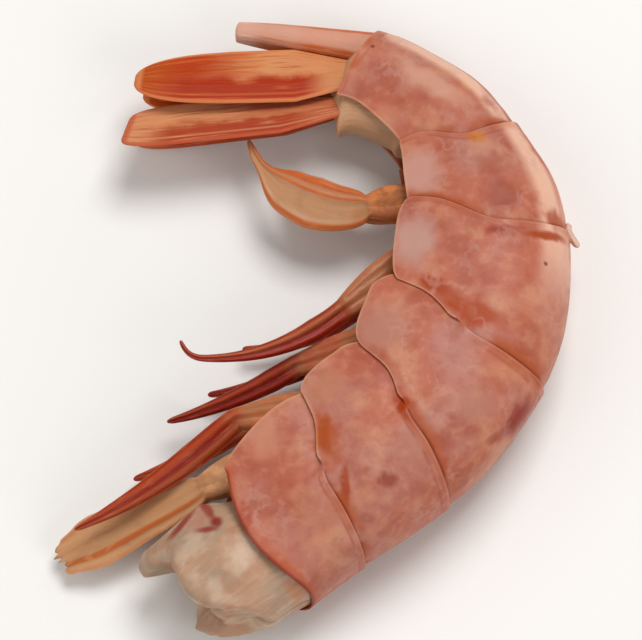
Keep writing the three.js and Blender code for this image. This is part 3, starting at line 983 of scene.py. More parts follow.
@dataclass(frozen=True)
class MeatFinish:
    """Raw flesh: pale grey and beige, with fibres that run along the body, pale patches of painted highlight
    and red marks at the neck.
    """

    flesh: Paint = (184, 142, 112)
    grey: Paint = (166, 140, 116)
    warm: Paint = (172, 108, 72)
    pale: Paint = (210, 184, 158)
    belly: Paint = (170, 118, 78)
    belly_dark: Paint = (128, 72, 42)
    membrane: Paint = (196, 146, 104)
    patches: Cloud = Cloud(grey, 1.0, 5.0, 3.0, 0.0, (0.35, 0.65))
    broad: Cloud = Cloud(warm, 0.35, 3.2, 3.0, 0.5, (0.5, 0.68))
    fibres: Cloud = Cloud(pale, 0.3, 1.0, 3.0, 0.2, (0.5, 0.76))
    # Pale patches of painted highlight on the wet flesh.
    light: Cloud = Cloud(pale, 0.5, 3.6, 2.0, 0.9, (0.48, 0.66))
    skin: Cloud = Cloud(belly_dark, 1.0, 3.0, 3.0, 0.8, (0.42, 0.62))
    skin_from: Span = (-1.0, 3.0)
    skin_to: Span = (68.0, 62.0)
    skin_strength: float = 0.75
    end: Band = Band(membrane, 0.7, "along", (62.0, 68.0))
    stains: tuple[Stain, ...] = (
        Stain((-14.4, -26.2, 11.0), (2.6, 3.2, 6.0), (190, 126, 100), 0.6, 0.9),
        Stain((-16.4, -27.0, 9.0), (3.6, 0.75, 8.0), (142, 46, 26), 0.95, 0.35, 54),
        Stain((-13.4, -25.4, 11.0), (2.7, 0.8, 7.0), (146, 46, 30), 0.9, 0.3, -62),
        Stain((-13.2, -28.2, 11.0), (2.0, 0.65, 6.0), (144, 42, 26), 0.9, 0.3),
        Stain((-12.2, -27.3, 11.5), (1.2, 1.1, 6.0), (136, 26, 14), 0.95, 0.3),
        Stain((-19.8, -29.8, 3.0), (2.0, 1.8, 5.0), (168, 104, 62), 0.7, 0.8),
        Stain((-9.4, -35.4, 4.0), (4.6, 2.3, 6.0), (160, 98, 46), 0.85, 0.9),
        Stain((-12.8, -31.8, 6.0), (3.0, 2.2, 6.0), (160, 112, 68), 0.65, 0.9),
        Stain((-3.2, -34.6, 8.5), (2.4, 2.0, 6.0), (190, 116, 68), 0.75, 0.9),
    )
    fibre_depth: float = 0.14
    lumps: Span = (0.8, 0.08)
    lump_shift: float = 0.6
    film: Film = Film(rough=0.32, varies=0.3, patch=1.6, shift=0.4, flesh=0.5, coat=0.2, shine=0.4)

    def material(self) -> bpy.types.Material:
        """Makes the finish.

        Returns:
            The material of the meat.
        """
        graph = Graph("meat")
        along = graph.reading("along")
        strands = graph.streaks(("turn", FIBRES_ROUND), ("along", FIBRE_STRETCH))
        colour = self.patches.lay(graph, self.flesh)
        colour = self.broad.lay(graph, colour, place=strands)
        colour = self.fibres.lay(graph, colour, place=strands)
        # Painted highlights: pale patches over the flesh.
        colour = self.light.lay(graph, colour)
        under = graph.both(graph.rise(along, *self.skin_from), graph.rise(along, *self.skin_to))
        colour = graph.tint(colour, self.skin.lay(graph, self.belly), under, self.skin_strength)
        colour = lay_all(graph, colour, (self.end, *self.stains))
        lump_period, lump_depth = self.lumps
        normal = graph.bump(self.fibres.noise(graph, strands), self.fibre_depth)
        normal = graph.bump(graph.grain(lump_period, shift=self.lump_shift), lump_depth, normal)
        graph.wet(colour, normal, self.film)
        return graph.material


@dataclass(frozen=True)
class LimbPaints:
    """Colours of one leg: its base and the folds there, two strands with a thin core, and its edges.

    The near strand of its blade lies on the tail's side and the far one on the neck's.
    """

    base: Paint = (176, 108, 66)
    fold: Paint = (138, 66, 34)
    near: Paint = (170, 62, 22)
    far: Paint = (158, 72, 34)
    core: Paint = (138, 26, 8)
    edge: Paint = (196, 112, 62)


@dataclass(frozen=True)
class LimbFinish:
    """Thin moist skin of one leg over its flesh: a pale base, and a blade of two strands.

    Spans of across and reach are shares of the leg's width and of its blade's length, and the others are
    shares of the strands', folds' and veins' heights.
    """

    name: str
    paints: LimbPaints
    vein_across: float = 1.6
    vein_reach: float = 4.0
    vein_period: float = 0.5
    vein_shift: float = 0.1
    cloud_period: float = 2.4
    cloud_detail: float = 4.0
    cloud_shift: float = 0.4
    split_across: Span = (-0.15, 0.2)
    split_uneven: float = 0.5
    core_height: Span = (0.9, 0.5)
    base_clouds: Span = (0.44, 0.62)
    fold_height: Span = (0.55, 0.3)
    fold_strength: float = 0.4
    join_reach: Span = (0.02, 0.24)
    join_uneven: float = 0.3
    vein_light: Span = (0.54, 0.7)
    light_strength: float = 0.35
    vein_dark: Span = (0.46, 0.3)
    dark_strength: float = 0.2
    rim_across: Span = (0.86, 0.98)
    rim_strength: float = 0.45
    vein_depth: float = 0.12
    lumps: Span = (0.6, 0.05)
    lump_shift: float = 0.5
    film: Film = Film(rough=0.3, varies=0.3, patch=1.2, shift=0.3, flesh=0.25, coat=0.14, shine=0.3)

    def material(self) -> bpy.types.Material:
        """Makes the finish.

        Returns:
            The leg's material.
        """
        graph = Graph(f"{self.name}_skin")
        across, paints = graph.reading("across"), self.paints
        place = graph.streaks(("across", self.vein_across), ("reach", self.vein_reach))
        veins = graph.grain(self.vein_period, shift=self.vein_shift, place=place)
        clouds = graph.grain(self.cloud_period, self.cloud_detail, self.cloud_shift)
        split = graph.shaken(across, clouds, self.split_uneven, -self.split_uneven / 2)
        blade = graph.mix(graph.rise(split, *self.split_across), paints.near, paints.far)
        blade = graph.mix(graph.rise(graph.reading("strand"), *self.core_height), blade, paints.core)
        base = graph.mix(graph.rise(clouds, *self.base_clouds), paints.base, paints.edge)
        folds = graph.rise(graph.reading("folds"), *self.fold_height)
        base = graph.tint(base, paints.fold, folds, self.fold_strength)
        join = graph.shaken(graph.reading("reach"), clouds, self.join_uneven)
        colour = graph.mix(graph.rise(join, *self.join_reach), base, blade)
        colour = graph.tint(colour, paints.edge, graph.rise(veins, *self.vein_light), self.light_strength)
        colour = graph.tint(colour, paints.fold, graph.rise(veins, *self.vein_dark), self.dark_strength)
        rims = graph.rise(graph.calc("ABSOLUTE", across), *self.rim_across)
        colour = graph.tint(colour, paints.edge, rims, self.rim_strength)
        lump_period, lump_depth = self.lumps
        normal = graph.bump(veins, self.vein_depth)
        normal = graph.bump(graph.grain(lump_period, shift=self.lump_shift), lump_depth, normal)
        graph.wet(colour, normal, self.film)
        return graph.material


@dataclass(frozen=True)
class BladePaints:
    """Colours of one blade of the fan. The root's colour ends at a share of its length."""

    root: Paint = (208, 140, 92)
    # Painted light and shade: middle colours the lit side of a blade, lower its shaded side beneath; on the
    # spike lower is the paler painted light of its top edge.
    middle: Paint = (176, 58, 8)
    lower: Paint = (164, 44, 6)
    rib: Paint = (206, 110, 54)
    rim: Paint = (216, 134, 82)
    tip: Paint = (176, 72, 18)
    root_end: float = 0.28


@dataclass(frozen=True)
class BladeFinish:
    """Thin ribbed shell of one blade of the fan, its two sides painted lit and shaded, with fine lines along
    it and a pale rim.

    Spans of across, out and run are shares of the blade's half width and of its length, and those of lines
    and ribs are shares of their heights.
    """

    name: str
    paints: BladePaints
    line_across: float = 5.0
    line_run: float = 2.4
    line_period: float = 0.5
    line_shift: float = 0.1
    cloud_period: float = 3.2
    cloud_shift: float = 0.7
    side_uneven: float = 0.8
    # Where the painted light of one side of the blade turns into the painted shade of the other, by share
    # across.
    light_shade_split: Span = (-0.1, 0.45)
    tip_run: Span = (0.76, 0.95)
    root_uneven: float = 0.5
    root_run: Span = (0.98, 0.66)
    root_across: Span = (0.3, -0.1)
    root_fade: float = 0.16
    line_light: Span = (0.54, 0.7)
    light_strength: float = 0.45
    line_dark: Span = (0.46, 0.32)
    rib_height: Span = (0.5, 1.0)
    dark_strength: float = 0.5
    second_from: Span = (0.64, 0.7)
    second_to: Span = (0.78, 0.72)
    second_strength: float = 0.4
    rim_out: Span = (0.84, 0.93)
    rim_run: Span = (0.955, 0.98)
    rim_strength: float = 0.75
    line_depth: float = 0.12
    lumps: Span = (0.5, 0.03)
    lump_shift: float = 0.5
    film: Film = Film(rough=0.44, varies=0.28, patch=1.4, shift=0.3, flesh=0.25, coat=0.04, shine=0.15)

    def material(self) -> bpy.types.Material:
        """Makes the finish.

        Returns:
            The blade's material.
        """
        graph = Graph(f"{self.name}_shell")
        run, paints = graph.reading("run"), self.paints
        place = graph.streaks(("across", self.line_across), ("run", self.line_run))
        lines = graph.grain(self.line_period, shift=self.line_shift, place=place)
        clouds = graph.grain(self.cloud_period, shift=self.cloud_shift)
        side = graph.shaken(graph.reading("across"), clouds, self.side_uneven, -self.side_uneven / 2)
        # Painted light and shade across the blade: the middle colour on one side, the lower colour on the
        # other.
        colour = graph.mix(graph.rise(side, *self.light_shade_split), paints.middle, paints.lower)
        colour = graph.mix(graph.rise(run, *self.tip_run), colour, paints.tip)
        streaky = graph.rise(graph.shaken(run, lines, self.root_uneven), *self.root_run)
        root = graph.both(streaky, graph.rise(side, *self.root_across))
        last = graph.rise(run, paints.root_end, paints.root_end - self.root_fade)
        colour = graph.mix(graph.either(root, last), colour, paints.root)
        colour = graph.tint(colour, paints.rib, graph.rise(lines, *self.line_light), self.light_strength)
        colour = graph.tint(colour, paints.lower, graph.rise(lines, *self.line_dark), self.dark_strength)
        ribs = graph.rise(graph.reading("rib"), *self.rib_height)
        colour = graph.tint(colour, paints.rib, ribs, self.dark_strength)
        colour = self.rims(graph, colour)
        lump_period, lump_depth = self.lumps
        normal = graph.bump(lines, self.line_depth)
        normal = graph.bump(graph.grain(lump_period, shift=self.lump_shift), lump_depth, normal)
        graph.wet(colour, normal, self.film)
        return graph.material

    def rims(self, graph: Graph, colour: Socket) -> Socket:
        """Lays a faint second rib along both sides, and the pale rim round the blade.

        Args:
            graph: The finish's nodes.
            colour: The colour under it.

        Returns:
            The rimmed colour.
        """
        run, out = graph.reading("run"), graph.calc("ABSOLUTE", graph.reading("across"))
        second = graph.both(graph.rise(out, *self.second_from), graph.rise(out, *self.second_to))
        colour = graph.tint(colour, self.paints.rib, second, self.second_strength)
        edge = graph.either(graph.rise(out, *self.rim_out), graph.rise(run, *self.rim_run))
        return graph.tint(colour, self.paints.rim, edge, self.rim_strength)


@dataclass(frozen=True)
class PlateGrid:
    """Where the points of one plate lie, one value to a point.

    The arc runs from 0 on the ridge of the back to 1 at the flap's edge, and the height from 1 to -1. The
    lobe is how far the flap hangs below its notches. Along the body the plate reaches from front to rear.
    Behind counts from the edge that shows at its front, and ahead to its rear seam. Over and under say how
    far it is the outer one at its front seam and the inner one at its rear seam.
    """

    number: int
    arc: Array
    sign: Array
    lobe: Array
    height: Array
    along: Array
    front: Array
    rear: Array
    behind: Array
    ahead: Array
    over: Array
    under: Array


@dataclass(frozen=True)
class ShellPlates:
    """The six overlapping plates that wrap the body.

    A plate is a saddle over the back whose two sides end in rounded flaps. Its front is tucked under the
    plate before it. At the three seams nearest the neck the flaps lie the other way, over that plate.
    """

    form: BodyForm
    finish: ShellFinish
    thickness: float = 0.2
    # A plate's front is tucked in and rises to the outside again.
    tuck: float = 2.2
    tuck_depth: float = 0.31
    rise: float = 6.0
    # At a crossed seam the flaps lie the other way below a height on the section.
    flap_square: float = 2.6
    crossed_seams: tuple[int, ...] = (1, 2, 3)
    crossing: float = -0.14
    crossing_span: float = 0.16
    over_reach: float = 0.7
    under_reach: float = 1.0
    under_depth: float = 0.5
    press: float = 4.8
    spread: float = 0.2
    # Faces round one side and along the body, and the rounding of the rims.
    arc_faces: int = 84
    faces_per_mm: float = 3.2
    rim_bevel: float = 0.055
    bevel_angle: float = 1.0
    # Depths under the outside: lips by distance ahead of a seam, folds by distance behind it.
    swells: tuple[Swell, ...] = (Swell(0.14, 6.0, 3.1), Swell(0.05, 1.7, 7.7))
    lip: float = 0.03
    lips: tuple[Crest, ...] = (Crest(0.0, 0.35, -0.03), Crest(0.95, 0.35, 0.03))
    fold: float = 0.06
    folds: tuple[Crest, ...] = (Crest(1.7, 0.5, -0.06),)
    keels: tuple[float, ...] = (0.0, 0.0, 0.0, 0.05, 0.1, 0.18)
    keel_wide: float = 0.045
    # Where the flank begins round the section, and a distance that no mark reaches.
    flank: float = 0.9
    far: float = 10.0

    def build(self) -> None:
        """Builds and dresses the six plates."""
        material = self.finish.material()
        for number in range(len(RINGS)):
            Workbench.hand_over(self.plate(number), Slot.SHELL, material)

    def plate(self, number: int) -> Piece:
        """Models one plate.

        Args:
            number: Its place from the neck, from 0.

        Returns:
            The plate, with its readings for the finish.
        """
        rows = round((RINGS[number].length + self.tuck) * self.faces_per_mm)
        piece, column, row = Workbench.grid(f"shell_{number + 1}_piece", 2 * self.arc_faces, rows)
        grid = self.layout(number, column - self.arc_faces, row / rows)
        depth = self.depth(grid) + self.relief(grid)
        Workbench.place(piece, self.points(grid, depth))
        self.face_out(piece, grid.arc)
        self.note_readings(piece, grid)
        rounding_of_rims = {"segments": 2, "limit_method": "ANGLE", "angle_limit": self.bevel_angle}
        Workbench.apply(piece, "SOLIDIFY", thickness=self.thickness * MM, offset=-1.0)
        Workbench.apply(piece, "BEVEL", width=self.rim_bevel * MM, **rounding_of_rims)
        Workbench.ground(piece)
        Workbench.pick(piece)
        bpy.ops.object.shade_smooth()
        return piece

    def layout(self, number: int, column: Array, share: Array) -> PlateGrid:
        """Spreads a plate's points between its two seams.

        Args:
            number: Its place from the neck, from 0.
            column: Each point's column from the ridge, less than 0 on the left side.
            share: Each point's share of the way from the plate's front to its rear.

        Returns:
            Where the points lie.
        """
        form, ring = self.form, RINGS[number]
        middle = float(form.seam_at[number]) + ring.length / 2
        arc = form.even_arcs(middle, ring.lobe, self.arc_faces + 1)[np.abs(column)]
        lobe = ring.lobe * (1 - np.abs(2 * share - 1) ** self.flap_square) ** (1 / self.flap_square)
        belly = float(form.size("belly", np.array([middle]))[0])
        height = form.height_share(arc, SEAMS[number].square)
        height = np.where(height < 0, np.maximum(height * (1 + lobe / belly), -1.0), height)
        over, over_down = self.crossed(number, height)
        under, under_down = self.crossed(number + 1, height)
        seam, end = form.seam_edge(number, height), form.seam_edge(number + 1, height)
        front = seam - self.tucked(number, height, over_down)
        rear = end + self.under_reach * under_down
        along = blend(front, rear, share)
        behind = along - (front if number == 0 else blend(seam, front, over))
        ahead, sign = end - along, np.sign(column)
        return PlateGrid(number, arc, sign, lobe, height, along, front, rear, behind, ahead, over, under)

    def crossed(self, seam: int, height: Array) -> tuple[Array, Array]:
        """How the plates lie at a seam.

        Args:
            seam: The seam's number.
            height: Heights on the section.

        Returns:
            How far the plate behind the seam is the outer one, and how far down its flap each point is.
        """
        if seam not in self.crossed_seams:
            return np.zeros_like(height), np.zeros_like(height)
        over = smooth((self.crossing - height) / self.crossing_span + 0.5)
        return over, smooth((self.crossing - height) / self.spread)

    def tucked(self, number: int, height: Array, over_down: Array) -> Array | float:
        """How far a plate reaches ahead of its front seam.

        Args:
            number: Its place from the neck, from 0.
            height: Heights on the section.
            over_down: How far down its outer flap each point is.

        Returns:
            The reach at each height.
        """
        if number == 0:
            return 0.0
        if number not in self.crossed_seams:
            return self.tuck
        return self.tuck * smooth((height - self.crossing) / self.spread) + self.over_reach * over_down

    def depth(self, grid: PlateGrid) -> Array:
        """How far a plate lies under the body's outside, where it is tucked in or pressed down.

        Args:
            grid: Where its points lie.

        Returns:
            The depth of each point.
        """
        risen = 1.0 if grid.number == 0 else smooth((grid.behind - self.thickness) / self.rise)
        pressed = smooth(1 - (grid.rear - grid.along) / self.press)
        return self.tuck_depth * (1 - risen) * (1 - grid.over) + self.under_depth * grid.under * pressed

    def relief(self, grid: PlateGrid) -> Array:
        """How far the fine forms of a plate lie under its outside: swells, lips, folds and the keel.

        Args:
            grid: Where the plate's points lie.

        Returns:
            The depth of each point.
        """
        outside = self.points(grid, np.zeros_like(grid.along))
        swells = sum(swell.at(outside) for swell in self.swells)
        keel = self.keels[grid.number] * (1 - hump(grid.arc, self.keel_wide))
        lip = self.lip + raised(self.lips, grid.ahead)
        fold = self.fold + (raised(self.folds, grid.behind) if grid.number > 0 else 0.0)
        return swells + keel + lip + fold

    def points(self, grid: PlateGrid, depth: Array) -> Array:
        """The plate's points at depths under the body's outside."""
        side, up = self.form.inset(grid.along, grid.arc, grid.lobe, depth)
        return self.form.points(grid.along, side * grid.sign, up)

    def note_readings(self, piece: Piece, grid: PlateGrid) -> None:
        """Keeps what the finish reads: places on the plate, and distances from the edges that show.

        Args:
            piece: The plate.
            grid: Where its points lie.
        """
        first = grid.number == 0
        drop = (self.form.size("belly", grid.along) + RINGS[grid.number].lobe) * 2 * (1 - grid.arc)
        Workbench.note(
            piece,
            along=grid.along,
            height=grid.height,
            behind=grid.behind + self.far * (1.0 if first else grid.over),
            ahead=grid.ahead + self.far * grid.under,
            flap=np.minimum(drop, blend(self.far, grid.behind, grid.over)),
            neck=grid.along - grid.front + (0.0 if first else self.far),
        )

    def face_out(self, piece: Piece, arc: Array) -> None:
        """Turns an open plate's faces outwards, judged at a point on the ridge of its back.

        Args:
            piece: The plate.
            arc: Its points' places round the section.
        """
        vertices = piece.data.vertices
        ridge = vertices[int(np.argmin(arc))]
        flanks = np.flatnonzero(arc > self.flank)
        inward = np.mean([vertices[int(i)].co for i in flanks], axis=0) - np.array(ridge.co)
        if np.dot(inward, ridge.normal) > 0:
            Workbench.pick(piece)
            bpy.ops.object.mode_set(mode="EDIT")
            bpy.ops.mesh.select_all(action="SELECT")
            bpy.ops.mesh.flip_normals()
            bpy.ops.object.mode_set(mode="OBJECT")


# How far the torn end stands out of the shell, by share of a turn from the ridge of the back.
TORN_EDGE = (
    (0.0, 5.6), (0.1, 7.2), (0.18, 10.2), (0.25, 12.2), (0.32, 11.6), (0.38, 10.6), (0.44, 12.2),
    (0.51, 14.2), (0.58, 11.0), (0.65, 8.8), (0.7, 9.0), (0.76, 12.2), (0.83, 10.4), (0.91, 7.0),
    (1.0, 5.6),
)


@dataclass(frozen=True)
class MeatGrid:
    """Where the points of the meat lie, one value to a point.

    The turn runs from the ridge of the back over the right side, and the reach is how far the torn end
    stands out there. Face and dome are shares of the way over the two ends.
    """

    turn: Array
    reach: Array
    face: Array
    along: Array
    dome: Array


@dataclass(frozen=True)
class Meat:
    """The core of flesh, from its torn end at the neck to the base of the fan."""

    form: BodyForm
    finish: MeatFinish
    # The section: how square its belly is, and how far it lies under the shell there and at the neck.
    square: float = 2.6
    skin: float = 1.4
    neck_skin: float = 0.5
    neck_end: float = 5.0
    # The torn end: its hollow face, how it narrows and hangs, its teeth and its round rim.
    hollow: float = 8.6
    hollow_size: float = 0.55
    wither: float = 0.014
    flare: float = 0.4
    flare_end: float = 4.5
    teeth: tuple[Swell, ...] = (Swell(1.0, 0.2, 8.8), Swell(0.4, 0.06, 4.4))
    teeth_middle: float = 0.7
    teeth_depth: float = 0.8
    rim_round: float = 1.3
    # The end at the fan, and the lowest height of a point.
    tail: float = 0.6
    dome_length: float = 1.6
    floor: float = 0.05
    # Faces round it, the length of a face, and rows over its ends.
    sides: int = 120
    step: float = 0.5
    face_rows: int = 30
    torn_rows: int = 26
    torn_ease: float = 1.6
    dome_rows: int = 4
    # Relief of bare flesh, where it begins and over how much, and relief of the end face.
    fibres: Swell = Swell(0.25, 1.6, 1.3)
    lumps: Swell = Swell(0.6, 4.5, 2.9)
    bare: Span = (1.0, 2.0)
    face_lumps: tuple[Swell, ...] = (Swell(1.6, 2.6, 6.1), Swell(0.8, 0.9, 9.3))
    face_middle: float = 0.8
    # Cross bars of the belly's skin, the turn from the belly at which they end and over how much.
    rib: Crest = Crest(1.4, 0.9)
    rib_height: float = 0.45
    rib_base: float = 0.4
    rib_turns: Span = (0.22, 0.1)

    def build(self) -> None:
        """Builds and dresses the meat."""
        body_rows = round((self.form.end - self.tail) / self.step)
        rows = self.face_rows + self.torn_rows + body_rows + self.dome_rows
        piece, column, row = Workbench.grid("meat_piece", self.sides, rows)
        grid = self.layout((column % self.sides) / self.sides, row, body_rows)
        Workbench.place(piece, self.points(grid))
        Workbench.note(piece, along=grid.along, turn=grid.turn)
        Workbench.close(piece)
        Workbench.hand_over(piece, Slot.MEAT, self.finish.material())

    def layout(self, turn: Array, row: Array, body_rows: int) -> MeatGrid:
        """Spreads the rows over the end face, the torn stretch, the body and its rounded end.

        Args:
            turn: Each point's share of a turn.
            row: Each point's row.
            body_rows: Rows from the neck to the rounded end.

        Returns:
            Where the points lie.
        """
        reach = self.reach(turn)
        face = np.minimum(row / self.face_rows, 1.0)
        torn = np.clip((row - self.face_rows) / self.torn_rows, 0, 1) ** self.torn_ease
        body_row = row - self.face_rows - self.torn_rows
        body = np.clip(body_row / body_rows, 0, 1) * (self.form.end - self.tail)
        dome = np.clip((body_row - body_rows) / self.dome_rows, 0, 1)
        rim = smooth((face - self.hollow_size) / (1 - self.hollow_size))
        along = np.where(face < 1, blend(-self.hollow, -reach, rim), -reach * (1 - torn) + body)
        along = along + self.dome_length * np.sin(dome * math.pi / 2)
        return MeatGrid(turn, reach, face, along, dome)

    def reach(self, turn: Array) -> Array:
        """How far the torn end stands out of the shell, with its torn teeth.

        Args:
            turn: Shares of a turn from the ridge of the back over the right side.

        Returns:
            The reach at each turn.
        """
        at, reach = zip(*TORN_EDGE)
        way = 2 * math.pi * turn
        rim = np.stack([np.cos(way), np.sin(way), 0 * turn], axis=1)
        frayed = sum(teeth.at(rim) for teeth in self.teeth)
        return np.interp(turn, at, reach) - self.teeth_depth * (frayed - self.teeth_middle)

    def section(self, along: Array, turn: Array) -> tuple[Array, Array]:
        """The meat's section: it follows the shell over the back and is flatter at the belly.

        Args:
            along: Distances along the body.
            turn: Shares of a turn from the ridge of the back over the right side.

        Returns:
            Distances out to the side and up towards the back.
        """
        arc = np.where(turn < 0.5, turn * 2, 2 - turn * 2)
        sign = np.where(turn < 0.5, 1.0, -1.0)
        skin = blend(self.neck_skin, self.skin, smooth(along / self.neck_end))
        side, up = self.form.inset(along, np.minimum(arc, 0.5), 0.0, skin)
        half = self.form.size("half", along) - skin
        power = 2 / self.square
        low_side = half * np.abs(np.sin(math.pi * arc)) ** power
        low_up = -self.form.size("core", along) * np.abs(np.cos(math.pi * arc)) ** power
        lower = arc >= 0.5
        return np.where(lower, low_side, side) * sign, np.where(lower, low_up, up)

    def points(self, grid: MeatGrid) -> Array:
        """The meat's points, with the relief of its torn end and its belly.

        Args:
            grid: Where they lie on its plain form.

        Returns:
            One point to a row.
        """
        form, along, face = self.form, grid.along, grid.face
        side, up = self.section(along, grid.turn)
        leaning = along - form.size("lean", along) * np.cos(2 * math.pi * grid.turn)
        full = form.points(leaning, side * face, up * face, self.floor)
        size = face * np.cos(grid.dome * math.pi / 2)
        size = size * (1 - self.worn(grid, full) / form.size("half", along))
        size = size * (1 + self.belly_ribs(grid) / form.size("core", along))
        lumps = sum(swell.at(full) for swell in self.face_lumps) - self.face_middle
        on_face = np.where(face < 1, (1 - face**4) * lumps, 0.0)
        narrow = 1 + self.wither * np.minimum(along, 0)
        deep = 1 + self.flare * smooth(-along / self.flare_end)
        up = up * size * np.where(up > 0, narrow, deep)
        return form.points(leaning - on_face, side * size * narrow, up, self.floor)

    def worn(self, grid: MeatGrid, full: Array) -> Array:
        """How far bare flesh lies under its plain form: fibres, lumps and the round of its rim.

        Args:
            grid: Where the points lie.
            full: The points of the plain form.

        Returns:
            The depth of each point.
        """
        from_rim = np.where(grid.face < 1, 0.0, np.clip((grid.reach + grid.along) / self.rim_round, 0, 1))
        rounded = self.rim_round * (1 - np.sqrt(1 - (1 - from_rim) ** 2))
        strands = np.stack([grid.turn * FIBRES_ROUND, grid.along * FIBRE_STRETCH, grid.turn * 0], axis=1)
        begin, fade = self.bare
        bare = smooth((begin - grid.along) / fade)
        return (self.fibres.at(strands) + self.lumps.at(full)) * bare + rounded

    def belly_ribs(self, grid: MeatGrid) -> Array:
        """How far the cross bars of the belly's skin stand out, one behind each seam.

        Args:
            grid: Where the points lie.

        Returns:
            The height at each point.
        """
        turns, fade = self.rib_turns
        low = smooth((turns - np.abs(grid.turn - 0.5)) / fade)
        bars = sum(raised((self.rib,), grid.along - at) for at in self.form.seam_at[:-1])
        return self.rib_height * low * (bars - self.rib_base)


@dataclass(frozen=True)
class Strip:
    """The run of a limb or blade: its rows' places, their shares of its length, widths and thicknesses."""

    line: Array
    run: Array
    wide: Array
    thick: Array


Profile = Callable[[Array, Array], Array]


@dataclass(frozen=True)
class Strap:
    """A flat limb or blade that follows a line, turned about it by a roll in degrees, cut aslant by a skew.

    It is kept as wide as its faceted solid by the share called full.
    """

    roll: float
    skew: float = 0.0
    around: int = 48
    full: float = math.cos(math.pi / 8)
    floor: float = 0.12
    edge_power: int = 4

    def model(
        self, name: str, strip: Strip, profile: Profile, ragged: Profile | None = None
    ) -> tuple[Piece, Array, Array]:
        """Models the strap.

        Args:
            name: Name of the piece.
            strip: Its rows.
            profile: Gives the share of its thickness at shares across and along it.
            ragged: Gives how far its outline reaches on, or None for a plain outline.

        Returns:
            The piece before its edges are joined, and each point's share across and row.
        """
        piece, column, row = Workbench.grid(name, self.around, len(strip.run) - 1)
        angle = 2 * math.pi * (column % self.around) / self.around
        ahead = unit(np.gradient(strip.line, axis=0))
        flat = unit(np.cross([0.0, 0.0, 1.0], ahead))
        roll = math.radians(self.roll)
        level = flat * math.cos(roll) + np.cross(ahead, flat) * math.sin(roll)
        normal = np.cross(ahead, level)
        edge, run = np.cos(angle), strip.run[row]
        across = strip.wide[row] / 2 * self.full * edge
        upper = np.sign(np.round(np.sin(angle), 6))
        wall = np.sqrt(np.clip(1 - np.abs(edge) ** self.edge_power, 0, 1)) * upper
        high = strip.thick[row] / 2 * profile(edge, run) * wall
        on = self.skew * across * run
        if ragged is not None:
            on = on + ragged(edge, run)
        points = strip.line[row] + level[row] * across[:, None] + normal[row] * high[:, None]
        points = points + ahead[row] * on[:, None]
        points[:, 2] = np.maximum(points[:, 2], self.floor)
        Workbench.place(piece, points)
        return piece, edge, row


def unit(vectors: Array) -> Array:
    """Vectors brought to a length of 1, one to a row."""
    return vectors / np.linalg.norm(vectors, axis=1, keepdims=True)


def walk_line(start: Array, heading: float, length: float, turn: float, height: float, steps: int) -> Array:
    """A line that walks on in a turning plan heading, with its height moving evenly.

    Args:
        start: Its first point.
        heading: The way it first heads, in degrees.
        length: Its length.
        turn: Degrees that it turns to the left.
        height: Height of its end.
        steps: Steps along it.

    Returns:
        Its points.
    """
    share = (np.arange(steps) + 0.5) / steps
    way = np.radians(heading + turn * share)
    flat = np.stack([np.cos(way), np.sin(way)], axis=1) * (length / steps)
    line = np.zeros((steps + 1, 3))
    line[:, :2] = start[:2] + np.concatenate([[[0.0, 0.0]], np.cumsum(flat, axis=0)])
    line[:, 2] = np.linspace(start[2], height, steps + 1)
    return line


def line_at(line: Array, run: Array) -> Array:
    """Points at shares of the way along a line."""
    shares = np.linspace(0, 1, len(line))
    return np.stack([np.interp(run, shares, line[:, k]) for k in range(3)], axis=1)


@dataclass(frozen=True)
class Rows:
    """Rows along a strap: how many lie before its tip and over it, and the shares that round off."""

    body: int
    over_tip: int
    tip: float
    start: float

    def runs(self) -> Array:
        """Shares along the strap, set closer together where its tip rounds off.

        Returns:
            One share for each row.
        """
        body = np.linspace(0, 1 - self.tip, self.body)
        end = 1 - self.tip + self.tip * np.sin(np.linspace(0, math.pi / 2, self.over_tip + 1)[1:])
        return np.concatenate([body, end])

    def cap(self, run: Array) -> Array:
        """How the tip rounds off: 1 before it, falling to 0 at its end."""
        past = np.clip(run - 1 + self.tip, 0, 1) / self.tip
        return np.sqrt(np.clip(1 - past**2, 0, 1))

    def opening(self, run: Array) -> Array:
        """How the root rounds off: 0 at its start, rising to 1."""
        return smooth(run / self.start)


@dataclass(frozen=True)
class BladeMake:
    """How a leg's blade is made: how thin it is between its cords, and how soon it narrows to its tip.

    Cords lie by share across it, and the blunt share of the tip's width is left at the very end.
    """

    thin: float
    cords: tuple[Crest, ...]
    taper: float
    tip_wide: float = 0.6
    blunt: float = 0.3

    def profile(self, across: Array) -> Array:
        """The share of its thickness at shares across it."""
        return self.thin + (1 - self.thin) * np.minimum(raised(self.cords, across), 1)


class Blade(Enum):
    """Makes of a leg's blade: two strands side by side, a thin curled leaf, or a leaf with a torn end."""

    STRANDS = BladeMake(0.42, (Crest(-0.48, 0.34), Crest(0.5, 0.3, 0.85)), taper=0.8)
    LEAF = BladeMake(0.3, (Crest(-0.8, 0.2), Crest(-0.4, 0.13, 0.8), Crest(0.84, 0.18, 0.8)), taper=0.5)
    TORN_LEAF = BladeMake(
        0.4,
        (Crest(0.5, 0.14), Crest(-0.1, 0.12, 0.6), Crest(-0.8, 0.16, 0.8), Crest(0.92, 0.1, 0.5)),
        taper=0.6,
        tip_wide=4.2,
        blunt=0.75,
    )


@dataclass(frozen=True)
class LegSizes:
    """Sizes of one leg.

    It leaves the belly at a share of its ring. Base and blade are lengths, paddle and wide their widths,
    and widest a share of the blade. The tip is the height of its end. Angles are in degrees: the splay from
    pointing to the head, the roll about its own length, the bend at the joint, the turn of the blade from
    there on, and the hook of its thin tip.
    """

    name: str
    side: Side
    ring: int
    at: float
    base: float
    blade: float
    splay: float
    paddle: float
    wide: float
    widest: float
    tip: float
    roll: float
    bend: float = 0.0
    turn: float = 0.0
    paints: LimbPaints = LimbPaints()
    make: Blade = Blade.STRANDS
    hook: float = 0.0


